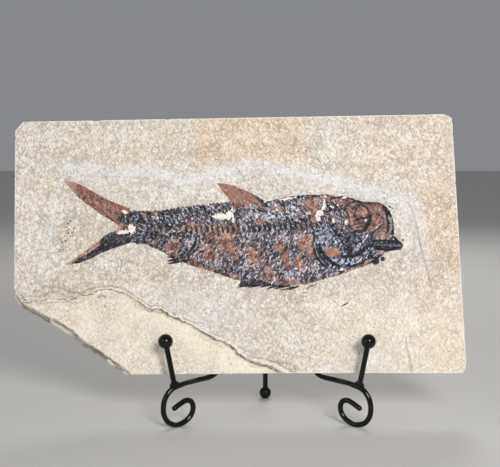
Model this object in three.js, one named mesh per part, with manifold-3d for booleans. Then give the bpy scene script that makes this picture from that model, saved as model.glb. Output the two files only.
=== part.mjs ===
// Fossil fish slab standing on a bent-wire table easel.
//
// Millimetres, +Z up. The slab faces -Y and leans back towards +Y, and the fish's head points to +X.
// The origin lies under the middle of the whole object, on the surface that it stands on.

import * as THREE from 'three';
import { mergeVertices } from 'three/addons/utils/BufferGeometryUtils.js';
import Module from 'manifold-3d';

const wasm = await Module();
wasm.setup();

const { degToRad } = THREE.MathUtils;

// ---------------------------------------------------------------------------
// Driving dimensions
// ---------------------------------------------------------------------------

const CLEARANCE = 0.3; // left between pieces that touch

// Limestone slab, sawn by hand to a nominal 12 x 7 inches
const SLAB_LEFT_HEIGHT = 173;
const SLAB_RIGHT_HEIGHT = 178.5;
const SLAB_THICKNESS = 12;
const SLAB_LEAN = degToRad(14.3); // back from upright
const SLAB_SHIFT = -17.5; // the slab stands this far off the middle of its easel
const SLAB_FRONT_EDGE = { y: 11.6, z: 33.5 }; // its lowest front edge, seen from the scroll feet
const SPLIT_DEPTH = 1; // how far the face drops where the top layer has flaked off

// Fossil fish, lying proud of the slab
const BODY_RELIEF = 1.6;
const FIN_RELIEF = 0.9;

// Easel, bent from round steel wire
const WIRE_RADIUS = 1.8;
const BALL_RADIUS = 5;
const REAR_BALL_RADIUS = 4.3;
const SOCKET_DEPTH = 2.5; // how far a wire goes into its ball
const FOOT_WEAR = 0.2; // worn off the underside of each foot
const SCROLL_X = 59; // from the middle of the easel to the middle of each scroll
const SCROLL_TURN = degToRad(33); // each scroll's outer side is turned forwards by this much
const APEX_HEIGHT = 150;
const REAR_FOOT_Y = 71.6;

const STONE_COLOUR = 0xded5c6;
const FOSSIL_COLOUR = 0x5b4b49;
const ENAMEL_COLOUR = 0x101214;

// The slab's sides aren't quite square to its lower edge.
// x runs to the right from the middle of that edge, and y runs up the face.
const LEFT_TOP_X = -157.2;
const LEFT_BREAK_X = -154;
const RIGHT_BOTTOM_X = 152.5;
const RIGHT_TOP_X = 147.8;
const TOP_CHAMFER = 5.5;
const BOTTOM_CORNER_RADIUS = 4;

// The broken lower left corner: the break's edge on the front face, and how far out its foot
// on the back face lies.
const BREAK_EDGE = [
  { x: LEFT_BREAK_X, y: 55.5, outX: 0, outY: -4 },
  { x: -149.5, y: 48.5, outX: -1, outY: -3.5 },
  { x: -137, y: 42, outX: -2, outY: -3 },
  { x: -123, y: 34.5, outX: -2, outY: -4 },
  { x: -115, y: 30, outX: -2, outY: -4 },
  { x: -106.5, y: 22.5, outX: -2.5, outY: -3 },
  { x: -89, y: 11, outX: -2.5, outY: -3 },
  { x: -83, y: 6.7, outX: -3, outY: -3 },
  { x: -73.5, y: 0, outX: -5, outY: 0 },
];

// Edge of the top layer above the flaked area, from the broken corner to the slab's lower edge
const SPLIT_EDGE = [
  [-152, 48], [-145, 48.6], [-134.7, 49.2], [-125, 51], [-117, 49.2], [-110, 52.6], [-102, 53.6],
  [-96.4, 56.6], [-87.3, 56.6], [-79.4, 54], [-69.3, 48.1], [-61.4, 43.4], [-56, 43.3], [-47.4, 38.6],
  [-33.5, 32.5], [-21.3, 24.8], [-7.5, 19.1], [-1.4, 13.1], [8.9, 7.1], [20, 4.5], [31.5, -1],
];

// Outlines of the fish on the slab's face
const BODY_OUTLINE = [
  [-79, 111.6], [-56, 111.6], [-43, 113.9], [-25, 116], [-10, 117.5], [14.6, 117], [30, 121],
  [49.5, 123.3], [66, 122.6], [76, 120.3], [86, 117], [96, 116], [103, 111.6], [105, 105], [105, 95],
  [111, 87.2], [108.5, 84.3], [98, 83.3], [97, 77.3], [88.4, 72.9], [75, 68.5], [60, 63],
  [44.5, 59.3], [27, 57.7], [9.7, 59.3], [-3, 62.5], [-16.4, 67.4], [-34, 71.8], [-48, 76.2],
  [-56, 82.8], [-66, 87.5], [-77.5, 88.7],
];
const TAIL_OUTLINE = [
  [-74, 111.6], [-79, 111.8], [-94, 120.8], [-107, 128.5], [-122, 131.8], [-113.8, 124],
  [-102.5, 115], [-91.4, 107.2], [-84, 101.5], [-91, 95], [-97.5, 89.4], [-110.5, 80.6], [-120, 74],
  [-112.6, 75], [-99.5, 79.4], [-88.7, 85], [-77.8, 88.7], [-74, 88.7],
];
const DORSAL_OUTLINE = [
  [-5, 114], [-7.8, 119.4], [-12.3, 125], [-16, 130.3], [-7.9, 129.6], [3.2, 125], [15.3, 118.4],
  [14, 114],
];

// Centre line of a scroll in its own upright plane, from its curled tip to where it meets the
// shelf: distance out from the scroll's middle, and height
const FOOT_HEIGHT = WIRE_RADIUS - FOOT_WEAR;
const SHELF_DROP = SLAB_THICKNESS * Math.sin(SLAB_LEAN) + CLEARANCE + WIRE_RADIUS;
const SHELF_HEIGHT = SLAB_FRONT_EDGE.z - SHELF_DROP;
const SCROLL_LINE = [
  [3.3, 12.8], [-2, 15.6], [-6.3, 17.1], [-9.8, 15.9], [-11.4, 12.2], [-10.4, 7.6], [-6.6, 3.6],
  [0.2, FOOT_HEIGHT], [6.8, 3.7], [10.3, 8.6], [11.1, 14.6], [9.5, 20.9], [5.2, 25.9],
  [-3, SHELF_HEIGHT],
];

// ---------------------------------------------------------------------------
// Tools
// ---------------------------------------------------------------------------

function enamel() {
  return new THREE.MeshStandardMaterial({ color: ENAMEL_COLOUR, roughness: 0.35, metalness: 0 });
}

function named(name, geometry, material) {
  const mesh = new THREE.Mesh(geometry, material);
  mesh.name = name;
  return mesh;
}

function toSolid(geometry) {
  const bare = geometry.clone();
  bare.deleteAttribute('normal');
  bare.deleteAttribute('uv');
  const merged = mergeVertices(bare, 1e-4);
  const vertProperties = new Float32Array(merged.attributes.position.array);
  const triVerts = new Uint32Array(merged.index.array);
  return new wasm.Manifold(new wasm.Mesh({ numProp: 3, vertProperties, triVerts }));
}

function toGeometry(solid) {
  const mesh = solid.getMesh();
  const geometry = new THREE.BufferGeometry();
  geometry.setAttribute('position', new THREE.BufferAttribute(mesh.vertProperties, 3));
  geometry.setIndex(new THREE.BufferAttribute(mesh.triVerts, 1));
  geometry.computeVertexNormals();
  return geometry;
}

// Takes off whatever lies below the surface that the object stands on.
function wornFlat(geometry) {
  const block = new THREE.BoxGeometry(400, 400, 20);
  block.translate(0, 0, -10);
  return toGeometry(toSolid(geometry).subtract(toSolid(block)));
}

function polygon(points) {
  return new THREE.Shape(points.map(([x, y]) => new THREE.Vector2(x, y)));
}

// A plate on the slab's face, from one height above it to another.
function plate(shape, from, to) {
  const geometry = new THREE.ExtrudeGeometry(shape, { depth: to - from, bevelEnabled: false });
  geometry.translate(0, 0, from);
  return geometry;
}

// Turns +Z of a geometry onto a direction and moves its origin to a point.
function place(geometry, origin, direction) {
  const turn = new THREE.Quaternion();
  turn.setFromUnitVectors(new THREE.Vector3(0, 0, 1), direction.clone().normalize());
  geometry.applyQuaternion(turn);
  geometry.translate(origin.x, origin.y, origin.z);
  return geometry;
}

// A straight length of wire between two points.
function rod(from, to) {
  const along = new THREE.Vector3().subVectors(to, from);
  const geometry = new THREE.CylinderGeometry(WIRE_RADIUS, WIRE_RADIUS, along.length(), 12);
  geometry.rotateX(Math.PI / 2);
  geometry.translate(0, 0, along.length() / 2);
  return place(geometry, from, along);
}

// A wire bent along a smooth line through the points.
function bentWire(points, steps) {
  const section = new THREE.Shape();
  section.absarc(0, 0, WIRE_RADIUS, 0, 2 * Math.PI);
  const extrudePath = new THREE.CatmullRomCurve3(points, false, 'centripetal');
  return new THREE.ExtrudeGeometry(section, { steps, curveSegments: 5, extrudePath });
}

// A ball drilled for its wire. The wire comes in along +Z from below.
function ball(radius) {
  const holeRadius = WIRE_RADIUS + CLEARANCE;
  const holeEnd = -radius + SOCKET_DEPTH;
  const rim = Math.asin(holeRadius / radius);
  const arcSteps = 10;
  const profile = [new THREE.Vector2(0, holeEnd), new THREE.Vector2(holeRadius, holeEnd)];
  for (let i = 0; i < arcSteps; i += 1) {
    const angle = rim + ((Math.PI - rim) * i) / arcSteps;
    profile.push(new THREE.Vector2(radius * Math.sin(angle), -radius * Math.cos(angle)));
  }
  profile.push(new THREE.Vector2(0, radius));
  const geometry = new THREE.LatheGeometry(profile, 18);
  geometry.rotateX(Math.PI / 2);
  return geometry;
}

// ---------------------------------------------------------------------------
// Slab and fish, in the slab's own frame: x to the right, y up the face, z out of the face
// ---------------------------------------------------------------------------

function slabOutline() {
  const shape = new THREE.Shape();
  shape.moveTo(RIGHT_BOTTOM_X - BOTTOM_CORNER_RADIUS, 0);
  shape.quadraticCurveTo(RIGHT_BOTTOM_X, 0, RIGHT_BOTTOM_X, 2 * BOTTOM_CORNER_RADIUS);
  shape.lineTo(RIGHT_TOP_X, SLAB_RIGHT_HEIGHT - TOP_CHAMFER / 2);
  shape.lineTo(RIGHT_TOP_X - TOP_CHAMFER, SLAB_RIGHT_HEIGHT);
  shape.lineTo(LEFT_TOP_X + TOP_CHAMFER, SLAB_LEFT_HEIGHT);
  shape.lineTo(LEFT_TOP_X, SLAB_LEFT_HEIGHT - 1.2 * TOP_CHAMFER);
  for (const { x, y } of BREAK_EDGE) shape.lineTo(x, y);
  shape.closePath();
  return shape;
}

// The break slopes outwards from the front face to the back face.
function slopeBreak(geometry) {
  const position = geometry.attributes.position;
  for (let i = 0; i < position.count; i += 1) {
    const x = position.getX(i);
    const y = position.getY(i);
    const isBack = position.getZ(i) < -SLAB_THICKNESS / 2;
    const point = BREAK_EDGE.find((p) => Math.abs(p.x - x) < 0.01 && Math.abs(p.y - y) < 0.01);
    if (isBack && point) position.setXY(i, x + point.outX, y + point.outY);
  }
  return geometry;
}

function limestoneSlab() {
  const block = slopeBreak(plate(slabOutline(), -SLAB_THICKNESS, 0));
  const flaked = polygon([...SPLIT_EDGE, [31.5, -20], [-175, -20], [-175, 48]]);
  const solid = toSolid(block).subtract(toSolid(plate(flaked, -SPLIT_DEPTH, 1)));
  const material = new THREE.MeshStandardMaterial({ color: STONE_COLOUR, roughness: 0.9 });
  return named('limestone_slab', toGeometry(solid), material);
}

function fossilFish() {
  const body = toSolid(plate(polygon(BODY_OUTLINE), CLEARANCE, CLEARANCE + BODY_RELIEF));
  const tail = toSolid(plate(polygon(TAIL_OUTLINE), CLEARANCE, CLEARANCE + FIN_RELIEF));
  const dorsalFin = toSolid(plate(polygon(DORSAL_OUTLINE), CLEARANCE, CLEARANCE + FIN_RELIEF));
  const material = new THREE.MeshStandardMaterial({ color: FOSSIL_COLOUR, roughness: 0.5 });
  return named('fossil_fish', toGeometry(body.add(tail).add(dorsalFin)), material);
}

// ---------------------------------------------------------------------------
// Easel. side is -1 for the left half and 1 for the right half.
// ---------------------------------------------------------------------------

// How far back a point just behind the slab lies, for its height and its distance from the face.
function behindSlab(z, distance) {
  const backEdgeY = SLAB_FRONT_EDGE.y + SLAB_THICKNESS * Math.cos(SLAB_LEAN);
  const backEdgeZ = SLAB_FRONT_EDGE.z - SLAB_THICKNESS * Math.sin(SLAB_LEAN);
  return backEdgeY + (z - backEdgeZ) * Math.tan(SLAB_LEAN) + distance / Math.cos(SLAB_LEAN);
}

const WIRE_OFF_BACK = WIRE_RADIUS + CLEARANCE + 0.1;
const APEX_X = WIRE_RADIUS + CLEARANCE;
const APEX_Y = behindSlab(APEX_HEIGHT, WIRE_OFF_BACK);

// One wire makes a scroll foot, runs back under the slab as its shelf, turns up behind it and
// leans inwards to the apex.
function frameWire(name, side) {
  const points = SCROLL_LINE.map(([out, height]) => new THREE.Vector3(
    side * (SCROLL_X + out * Math.cos(SCROLL_TURN)),
    -out * Math.sin(SCROLL_TURN),
    height,
  ));
  const heel = { x: 30, y: behindSlab(46, WIRE_OFF_BACK), z: 46 };
  const third = (a, b) => a + (b - a) * 0.3;
  points.push(
    new THREE.Vector3(side * 46.8, 13, SHELF_HEIGHT),
    new THREE.Vector3(side * 38, 23.3, SHELF_HEIGHT),
    new THREE.Vector3(side * 34.4, 27.4, SHELF_HEIGHT + 2),
    new THREE.Vector3(side * 32.4, 28.9, SHELF_HEIGHT + 8),
    new THREE.Vector3(side * heel.x, heel.y, heel.z),
    new THREE.Vector3(side * third(heel.x, APEX_X), third(heel.y, APEX_Y), third(heel.z, APEX_HEIGHT)),
    new THREE.Vector3(side * APEX_X, APEX_Y, APEX_HEIGHT),
  );
  return named(name, wornFlat(bentWire(points, 96)), enamel());
}

// A prong stands on the scroll in front of the slab and ends in a ball.
function prongEnds(side) {
  const foot = new THREE.Vector3(side * 61.6, -1.3, SHELF_HEIGHT + WIRE_RADIUS + CLEARANCE);
  const middle = new THREE.Vector3(side * 67.2, 2, 57.4);
  const direction = new THREE.Vector3().subVectors(middle, foot).normalize();
  const tip = middle.clone().addScaledVector(direction, SOCKET_DEPTH - BALL_RADIUS - CLEARANCE);
  return { foot, tip, middle, direction };
}

function prong(name, side) {
  const { foot, tip } = prongEnds(side);
  return named(name, rod(foot, tip), enamel());
}

function ballTip(name, side) {
  const { middle, direction } = prongEnds(side);
  return named(name, place(ball(BALL_RADIUS), middle, direction), enamel());
}

// The rear leg hangs from the apex and ends in a ball foot.
const REAR_FOOT = new THREE.Vector3(0, REAR_FOOT_Y, REAR_BALL_RADIUS - FOOT_WEAR);
const REAR_TOP = new THREE.Vector3(0, APEX_Y + 3.4, APEX_HEIGHT - 2);
const REAR_DIRECTION = new THREE.Vector3().subVectors(REAR_FOOT, REAR_TOP).normalize();

function rearLeg() {
  const intoBall = SOCKET_DEPTH - REAR_BALL_RADIUS - CLEARANCE;
  const end = REAR_FOOT.clone().addScaledVector(REAR_DIRECTION, intoBall);
  return named('rear_leg', rod(REAR_TOP, end), enamel());
}

function rearBallFoot() {
  const geometry = place(ball(REAR_BALL_RADIUS), REAR_FOOT, REAR_DIRECTION);
  return named('rear_ball_foot', wornFlat(geometry), enamel());
}

// ---------------------------------------------------------------------------
// Assembly
// ---------------------------------------------------------------------------

const slab = new THREE.Group();
slab.add(limestoneSlab(), fossilFish());
slab.rotation.x = Math.PI / 2 - SLAB_LEAN;
slab.position.set(SLAB_SHIFT, SLAB_FRONT_EDGE.y, SLAB_FRONT_EDGE.z);

const easel = new THREE.Group();
for (const [word, side] of [['left', -1], ['right', 1]]) {
  easel.add(frameWire(`${word}_frame_wire`, side));
  easel.add(prong(`${word}_prong`, side));
  easel.add(ballTip(`${word}_ball_tip`, side));
}
easel.add(rearLeg(), rearBallFoot());

const fossil = new THREE.Group();
fossil.add(slab, easel);
const extent = new THREE.Box3().setFromObject(fossil, true);
const middle = extent.getCenter(new THREE.Vector3());
fossil.position.set(-middle.x, -middle.y, 0);

export default fossil;
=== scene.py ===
import math

import bmesh
import bpy
import numpy as np
from bpy.props import FloatProperty, FloatVectorProperty, PointerProperty
from bpy.types import Operator, Panel, PropertyGroup
from mathutils import Matrix, Vector


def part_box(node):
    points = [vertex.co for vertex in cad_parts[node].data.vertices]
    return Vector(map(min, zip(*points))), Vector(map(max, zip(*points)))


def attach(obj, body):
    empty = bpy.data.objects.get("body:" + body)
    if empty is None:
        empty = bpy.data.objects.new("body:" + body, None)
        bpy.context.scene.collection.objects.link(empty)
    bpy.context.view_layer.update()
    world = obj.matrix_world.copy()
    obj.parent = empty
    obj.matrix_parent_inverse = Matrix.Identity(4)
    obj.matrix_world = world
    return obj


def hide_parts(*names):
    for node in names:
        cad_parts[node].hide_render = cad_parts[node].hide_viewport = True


bl_info = {
    "name": "Fossil Fish Slab",
    "version": (1, 0, 0),
    "blender": (4, 5, 0),
    "location": "3D View > Sidebar > Fossil",
    "description": "A fossil fish in relief on a limestone slab that leans on a wire easel",
    "category": "Add Mesh",
}

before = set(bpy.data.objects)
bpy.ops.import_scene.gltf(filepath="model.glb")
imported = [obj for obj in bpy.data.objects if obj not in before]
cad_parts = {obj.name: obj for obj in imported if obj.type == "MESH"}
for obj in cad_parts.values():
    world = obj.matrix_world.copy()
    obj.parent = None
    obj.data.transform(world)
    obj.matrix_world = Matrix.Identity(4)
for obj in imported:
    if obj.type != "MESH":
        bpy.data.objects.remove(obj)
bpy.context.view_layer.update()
MM = 0.001

# ---------------------------------------------------------------------------
# Sizes shared with the frame. The slab's own plane is in millimetres: x to the right from the
# middle of its lower edge, y up its face, and heights out of its face.
# ---------------------------------------------------------------------------

SLAB_LEAN = math.radians(14.3)
SLAB_THICKNESS = 12.0

# The sawn outline, whose lower left corner is broken off
LEFT_TOP = (-157.2, 166.4)
RIGHT_TOP = (147.8, 175.7)
TOP_LINE = [LEFT_TOP, (-151.7, 173.0), (142.3, 178.5), RIGHT_TOP]
LEFT_BREAK = (-154.0, 55.5)
RIGHT_BOTTOM = (152.5, 8.0)

# The break's edge on the face, and how far its foot on the back lies from each of those points
BREAK_EDGE = [
    (-154, 55.5), (-149.5, 48.5), (-137, 42), (-123, 34.5), (-115, 30), (-106.5, 22.5),
    (-89, 11), (-83, 6.7), (-73.5, 0),
]
BREAK_FOOT = [
    (0, -4), (-1, -3.5), (-2, -3), (-2, -4), (-2, -4), (-2.5, -3), (-2.5, -3), (-3, -3), (-5, 0),
]

# The edge of the flaked layer, and the zone round the fish that was picked clean
SPLIT_EDGE = [
    (-160, 47.6), (-152, 48), (-145, 48.6), (-134.7, 49.2), (-125, 51), (-117, 49.2), (-110, 52.6),
    (-102, 53.6), (-96.4, 56.6), (-87.3, 56.6), (-79.4, 54), (-69.3, 48.1), (-61.4, 43.4),
    (-56, 43.3), (-47.4, 38.6), (-33.5, 32.5), (-21.3, 24.8), (-7.5, 19.1), (-1.4, 13.1),
    (8.9, 7.1), (20, 4.5), (34, -3),
]
PREPARED_ZONE = [
    (-122, 141), (-103, 140), (-84, 136), (-63, 138.5), (-42, 131.5), (-25.6, 135.2), (-1.4, 140.8),
    (21, 140.8), (43, 136.3), (76, 128.5), (98, 121.5), (117.5, 117.2), (121.7, 99.4), (127, 72),
    (110, 62), (81, 53), (40, 46), (0, 46), (-28, 50), (-62, 58), (-100, 60), (-139, 62),
    (-132.5, 88), (-127, 121.5),
]

# The fish: outlines of its body, tail and back fin, the line behind its head, and its backbone
BODY_OUTLINE = [
    (-79, 111.6), (-56, 111.6), (-43, 113.9), (-25, 116), (-10, 117.5), (14.6, 117), (30, 121),
    (45, 122.9), (62.2, 122.9), (66, 121.6), (71.9, 122), (75.8, 120.6), (84, 117.9), (95.6, 117.3),
    (99.5, 115.2), (103.3, 110.9), (105.2, 105), (105.8, 98.2), (105.6, 93.8), (108.2, 91.3),
    (112.2, 87.4), (110.2, 84.1), (103.2, 83.1), (99.4, 81.6), (94.4, 77.4), (89.1, 74.1), (80.4, 71),
    (67.3, 66.1), (52.9, 62.3), (44.5, 59.8), (27, 58.3), (9.7, 60.2), (-3, 62.7), (-16.4, 67.4),
    (-34, 72.7), (-48, 78.2), (-56, 83.3), (-66, 87.5), (-77.5, 88.7), (-84, 93), (-84, 106),
]
UPPER_LOBE = [
    (-76, 112.2), (-80, 114), (-88.8, 117.3), (-97.7, 121.8), (-110.3, 129), (-115.6, 131.5),
    (-122.6, 132.6), (-121.3, 130.3), (-111.8, 120), (-103.7, 114.2), (-97.5, 109.3), (-89.9, 104.8),
    (-84.1, 100.8), (-76, 98),
]
LOWER_LOBE = [
    (-76, 101), (-84.1, 100.8), (-86.5, 97.8), (-90.2, 95.9), (-94.5, 93.3), (-97.5, 90.2),
    (-106.5, 83.6), (-114.3, 77.8), (-121.4, 73.8), (-116.8, 73.9), (-109.8, 75.2), (-102.9, 78),
    (-96.9, 81.1), (-89.9, 84.2), (-83.8, 86.2), (-78, 88.4), (-74, 88.7),
]
BACK_FIN = [
    (-5, 112), (-7.8, 119.4), (-12.3, 125), (-16, 130.3), (-7.9, 129.6), (3.2, 125), (15.3, 118.4),
    (16, 112),
]
SHOULDER_LINE = [
    (62, 126), (59.5, 115.8), (55.9, 108.1), (51.7, 101.2), (49, 92), (51.9, 80.1), (58.5, 72.3),
    (68, 62),
]
BACKBONE = [
    (-90, 99.8), (-52, 98.4), (-28, 98.2), (-3.4, 98.2), (20, 99.1), (40.7, 100.5), (60, 101.6),
]

# The easel: its wire and balls, its scrolls, and where it meets the slab
WIRE_RADIUS = 1.8
BALL_RADIUS = 5.0
REAR_BALL_RADIUS = 4.3
SCROLL_X = 59.0
SCROLL_TURN = math.radians(33)
APEX_HEIGHT = 150.0
REAR_FOOT_Y = 71.6
FRONT_EDGE = (11.6, 33.5)
FOOT_HEIGHT = 1.6
TOUCH_GAP = 0.3
SHELF_HEIGHT = FRONT_EDGE[1] - SLAB_THICKNESS * math.sin(SLAB_LEAN) - TOUCH_GAP - WIRE_RADIUS
SCROLL_LINE = [
    (3.3, 12.8), (-2, 15.6), (-6.3, 17.1), (-9.8, 15.9), (-11.4, 12.2), (-10.4, 7.6), (-6.6, 3.6),
    (0.2, FOOT_HEIGHT), (6.8, 3.7), (10.3, 8.6), (11.1, 14.6), (9.5, 20.9), (5.2, 25.9),
    (-3, SHELF_HEIGHT),
]

# Depths of the rings down the slab's sides, and depths where its split layers change
SIDE_DEPTHS = [0.35, 1.0, 1.12, 2.3, 2.45, 3.9, 4.05, 5.6, 6.8, 6.95, 8.6, 10.2, 11.3, 12.0]
LAYER_DEPTHS = [1.05, 2.4, 4.0, 6.9]

# The welds and prongs on the right half of the easel
PRONG_FOOT = (61.3, -1.5, SHELF_HEIGHT + 0.6)
PRONG_TIP = (67.2, 2.0, 57.4)
WELD_PLACE = (61.4, -1.0, SHELF_HEIGHT + 0.9)
WELD_AXIS = (0.7, -0.4, -0.25)

# How finely the pieces are divided
SLAB_CELLS = (344, 192)
SLAB_SIZE = (306, 176)
DOME_ANGLES = [math.radians(angle) for angle in (80, 62, 42, 22)]
WIRE_SIDES = 22
WIRE_STEPS = 260
BALL_SIDES = 40

# The height about the edge of the flaked layer that its mask covers, and how far a rim goes into the stone
CLIFF_REACH = 4.0
RIM_REACH = 0.35

# The stage: camera, sky, and each light's name, place, size and tint
CAMERA_PLACE = (0.0086, -0.68304, 0.1977)
CAMERA_TILT = math.radians(84)
LIGHT_TARGET = (0, 0, 0.10)
SKY_COLOUR = (0.86, 0.88, 0.92, 1)
SKY_STRENGTH = 0.28
LIGHTS = [
    ("key", (0.29, -0.93, 0.52), 0.34, (1.0, 0.985, 0.96)),
    ("fill", (-0.75, -0.65, 0.45), 0.7, (0.93, 0.96, 1.0)),
    ("back", (0.2, 0.9, 0.8), 0.6, (1.0, 0.98, 0.95)),
]

# ---------------------------------------------------------------------------
# Properties
# ---------------------------------------------------------------------------


class StoneSettings(PropertyGroup):
    """Sizes and colours of the limestone."""

    grain_height: FloatProperty(
        name="Grain Height", description="Height of the stone's granular texture", default=0.00008,
        unit="LENGTH")
    layer_step: FloatProperty(
        name="Layer Step", description="Drop of the face where the top layer has flaked off",
        default=0.0013, unit="LENGTH")
    recess: FloatProperty(
        name="Recess", description="Depth of the prepared area around the fish", default=0.0006,
        unit="LENGTH")
    light_colour: FloatVectorProperty(
        name="Light Colour", description="Pale cream of the stone", subtype="COLOR", size=3,
        default=(0.72, 0.665, 0.595))
    dark_colour: FloatVectorProperty(
        name="Dark Colour", description="Darker grain of the stone", subtype="COLOR", size=3,
        default=(0.46, 0.415, 0.365))
    stain_colour: FloatVectorProperty(
        name="Stain Tint", description="Tint of the tan iron stain", subtype="COLOR", size=3,
        default=(1.0, 0.84, 0.70))


class FossilSettings(PropertyGroup):
    """Sizes and colours of the fossil."""

    cell: FloatProperty(
        name="Detail Size", description="Spacing of the points that carry the fossil's relief",
        default=0.0003, unit="LENGTH")
    relief: FloatProperty(
        name="Relief", description="Height of the fossil's body over the stone", default=0.00075,
        unit="LENGTH")
    crust_colour: FloatVectorProperty(
        name="Crust Colour", description="Black crust on the bones", subtype="COLOR", size=3,
        default=(0.008, 0.008, 0.010))
    # The crust's slate tone, and the painted glints on its flakes
    slate_and_painted_glint_colour: FloatVectorProperty(
        name="Glint Colour", description="Blue-grey flakes of the crust", subtype="COLOR", size=3,
        default=(0.36, 0.34, 0.40))
    rust_colour: FloatVectorProperty(
        name="Rust Colour", description="Orange-brown bone", subtype="COLOR", size=3,
        default=(0.40, 0.215, 0.165))
    maroon_colour: FloatVectorProperty(
        name="Maroon Colour", description="Dark red-brown bone", subtype="COLOR", size=3,
        default=(0.19, 0.085, 0.072))


class EaselSettings(PropertyGroup):
    """Sizes and colours of the easel."""

    wire_radius: FloatProperty(
        name="Wire Radius", description="Radius of the easel's wire", default=WIRE_RADIUS * MM,
        unit="LENGTH")
    ball_radius: FloatProperty(
        name="Ball Radius", description="Radius of the front balls", default=BALL_RADIUS * MM,
        unit="LENGTH")
    paint_colour: FloatVectorProperty(
        name="Paint Colour", description="Black paint", subtype="COLOR", size=3,
        default=(0.002, 0.0023, 0.0028))


class StageSettings(PropertyGroup):
    """Floor, light and camera."""

    floor_colour: FloatVectorProperty(
        name="Floor Colour", description="Colour of the floor", subtype="COLOR", size=3,
        default=(0.62, 0.61, 0.59))
    key_power: FloatProperty(
        name="Key Light", description="Power of the main light", default=8.3, unit="POWER")
    fill_power: FloatProperty(
        name="Fill Light", description="Power of the fill light", default=1.6, unit="POWER")
    back_power: FloatProperty(
        name="Back Light", description="Power of the light behind the slab", default=4.5, unit="POWER")
    lens: FloatProperty(
        name="Lens", description="Focal length of the camera in millimetres", default=72.0)


# ---------------------------------------------------------------------------
# Noise and distances, all in millimetres and all seeded
# ---------------------------------------------------------------------------


def chance(i, j, seed):
    """A repeatable random number from 0 to 1 for each pair of whole numbers."""
    h = (i * 374761393 + j * 668265263 + seed * 362437) & 0xFFFFFFFF
    h = ((h ^ (h >> 13)) * 1274126177) & 0xFFFFFFFF
    return ((h ^ (h >> 16)) & 0xFFFFFF) / float(0xFFFFFF)


def smooth(low, high, value):
    """A smooth step from 0, where the value is at low, to 1, where it is at high."""
    t = np.clip((value - low) / (high - low), 0.0, 1.0)
    return t * t * (3.0 - 2.0 * t)


def ripple(x, y, cell, seed):
    """Smooth noise from about -1 to 1, with bumps about one cell across."""
    u, v = x / cell, y / cell
    i, j = np.floor(u).astype(np.int64), np.floor(v).astype(np.int64)
    fu, fv = u - i, v - j

    def corner(di, dj):
        """The share that one corner of the cell has."""
        a = chance(i + di, j + dj, seed) * 2 * math.pi
        return np.cos(a) * (fu - di) + np.sin(a) * (fv - dj)

    su, sv = fu * fu * (3 - 2 * fu), fv * fv * (3 - 2 * fv)
    low = corner(0, 0) * (1 - su) + corner(1, 0) * su
    high = corner(0, 1) * (1 - su) + corner(1, 1) * su
    return 1.5 * (low * (1 - sv) + high * sv)


def rough(x, y, cell, seed, layers=3):
    """Several sizes of ripple added up."""
    total, size, share = 0.0, cell, 1.0
    for k in range(layers):
        a = 0.6 + 1.1 * k
        c, s = math.cos(a), math.sin(a)
        total = total + share * ripple(x * c - y * s + 31.7 * k, x * s + y * c, size, seed + 17 * k)
        size *= 0.5
        share *= 0.55
    return total


def flakes(x, y, length, width, angle, seed):
    """Long flakes along an angle: a random number for each, the slope across it, and the gap beside it."""
    c, s = math.cos(angle), math.sin(angle)
    u, v = (x * c + y * s) / length, (-x * s + y * c) / width
    i, j = np.floor(u).astype(np.int64), np.floor(v).astype(np.int64)
    first = np.full(np.shape(x), 9.0)
    second = first.copy()
    number, across = np.zeros_like(first), np.zeros_like(first)
    for a in (-1, 0, 1):
        for b in (-1, 0, 1):
            ci, cj = i + a, j + b
            du = u - (ci + 0.15 + 0.7 * chance(ci, cj, seed))
            dv = v - (cj + 0.15 + 0.7 * chance(ci, cj, seed + 1))
            d = np.hypot(du, dv)
            near = d < first
            second = np.where(near, first, np.minimum(second, d))
            number = np.where(near, chance(ci, cj, seed + 2), number)
            across = np.where(near, dv, across)
            first = np.where(near, d, first)
    return number, across, second - first


def along(x, y, points):
    """Distance to a line through the points, and how far along it from 0 to 1."""
    p = np.asarray(points, float)
    lengths = np.hypot(*(p[1:] - p[:-1]).T)
    starts = np.concatenate([[0], np.cumsum(lengths)])
    best = np.full(np.shape(x), 1e9)
    place = np.zeros_like(best)
    for k in range(len(p) - 1):
        (ax, ay), (bx, by) = p[k], p[k + 1]
        ex, ey = bx - ax, by - ay
        t = np.clip(((x - ax) * ex + (y - ay) * ey) / (ex * ex + ey * ey), 0, 1)
        d = np.hypot(x - ax - t * ex, y - ay - t * ey)
        near = d < best
        place = np.where(near, starts[k] + t * lengths[k], place)
        best = np.where(near, d, best)
    return best, place / starts[-1]


def depth_inside(x, y, outline):
    """Distance in from a closed outline, negative outside it."""
    d, _ = along(x, y, list(outline) + [outline[0]])
    inside = np.zeros(np.shape(x), bool)
    for (ax, ay), (bx, by) in zip(outline, list(outline[1:]) + [outline[0]]):
        if ay != by:
            inside ^= ((ay > y) != (by > y)) & (x < (bx - ax) * (y - ay) / (by - ay) + ax)
    return np.where(inside, d, -d)


def rounded(points, steps=8):
    """A smooth line through the points."""
    p = [np.asarray(q, float) for q in points]
    p = [2 * p[0] - p[1]] + p + [2 * p[-1] - p[-2]]
    out = []
    for k in range(1, len(p) - 2):
        a, b, c, d = p[k - 1:k + 3]
        for n in range(steps):
            t = n / steps
            out.append(0.5 * (2 * b + (c - a) * t + (2 * a - 5 * b + 4 * c - d) * t ** 2
                              + (3 * b - a - 3 * c + d) * t ** 3))
    out.append(p[-2])
    return np.array(out)


def oval(x, y, cx, cy, rx, ry, turn=0.0):
    """1 in the middle of an oval, 0 on its edge, and less outside."""
    c, s = math.cos(turn), math.sin(turn)
    u, v = (x - cx) * c + (y - cy) * s, -(x - cx) * s + (y - cy) * c
    return 1 - np.hypot(u / rx, v / ry)


# ---------------------------------------------------------------------------
# The stone's face
# ---------------------------------------------------------------------------

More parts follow.
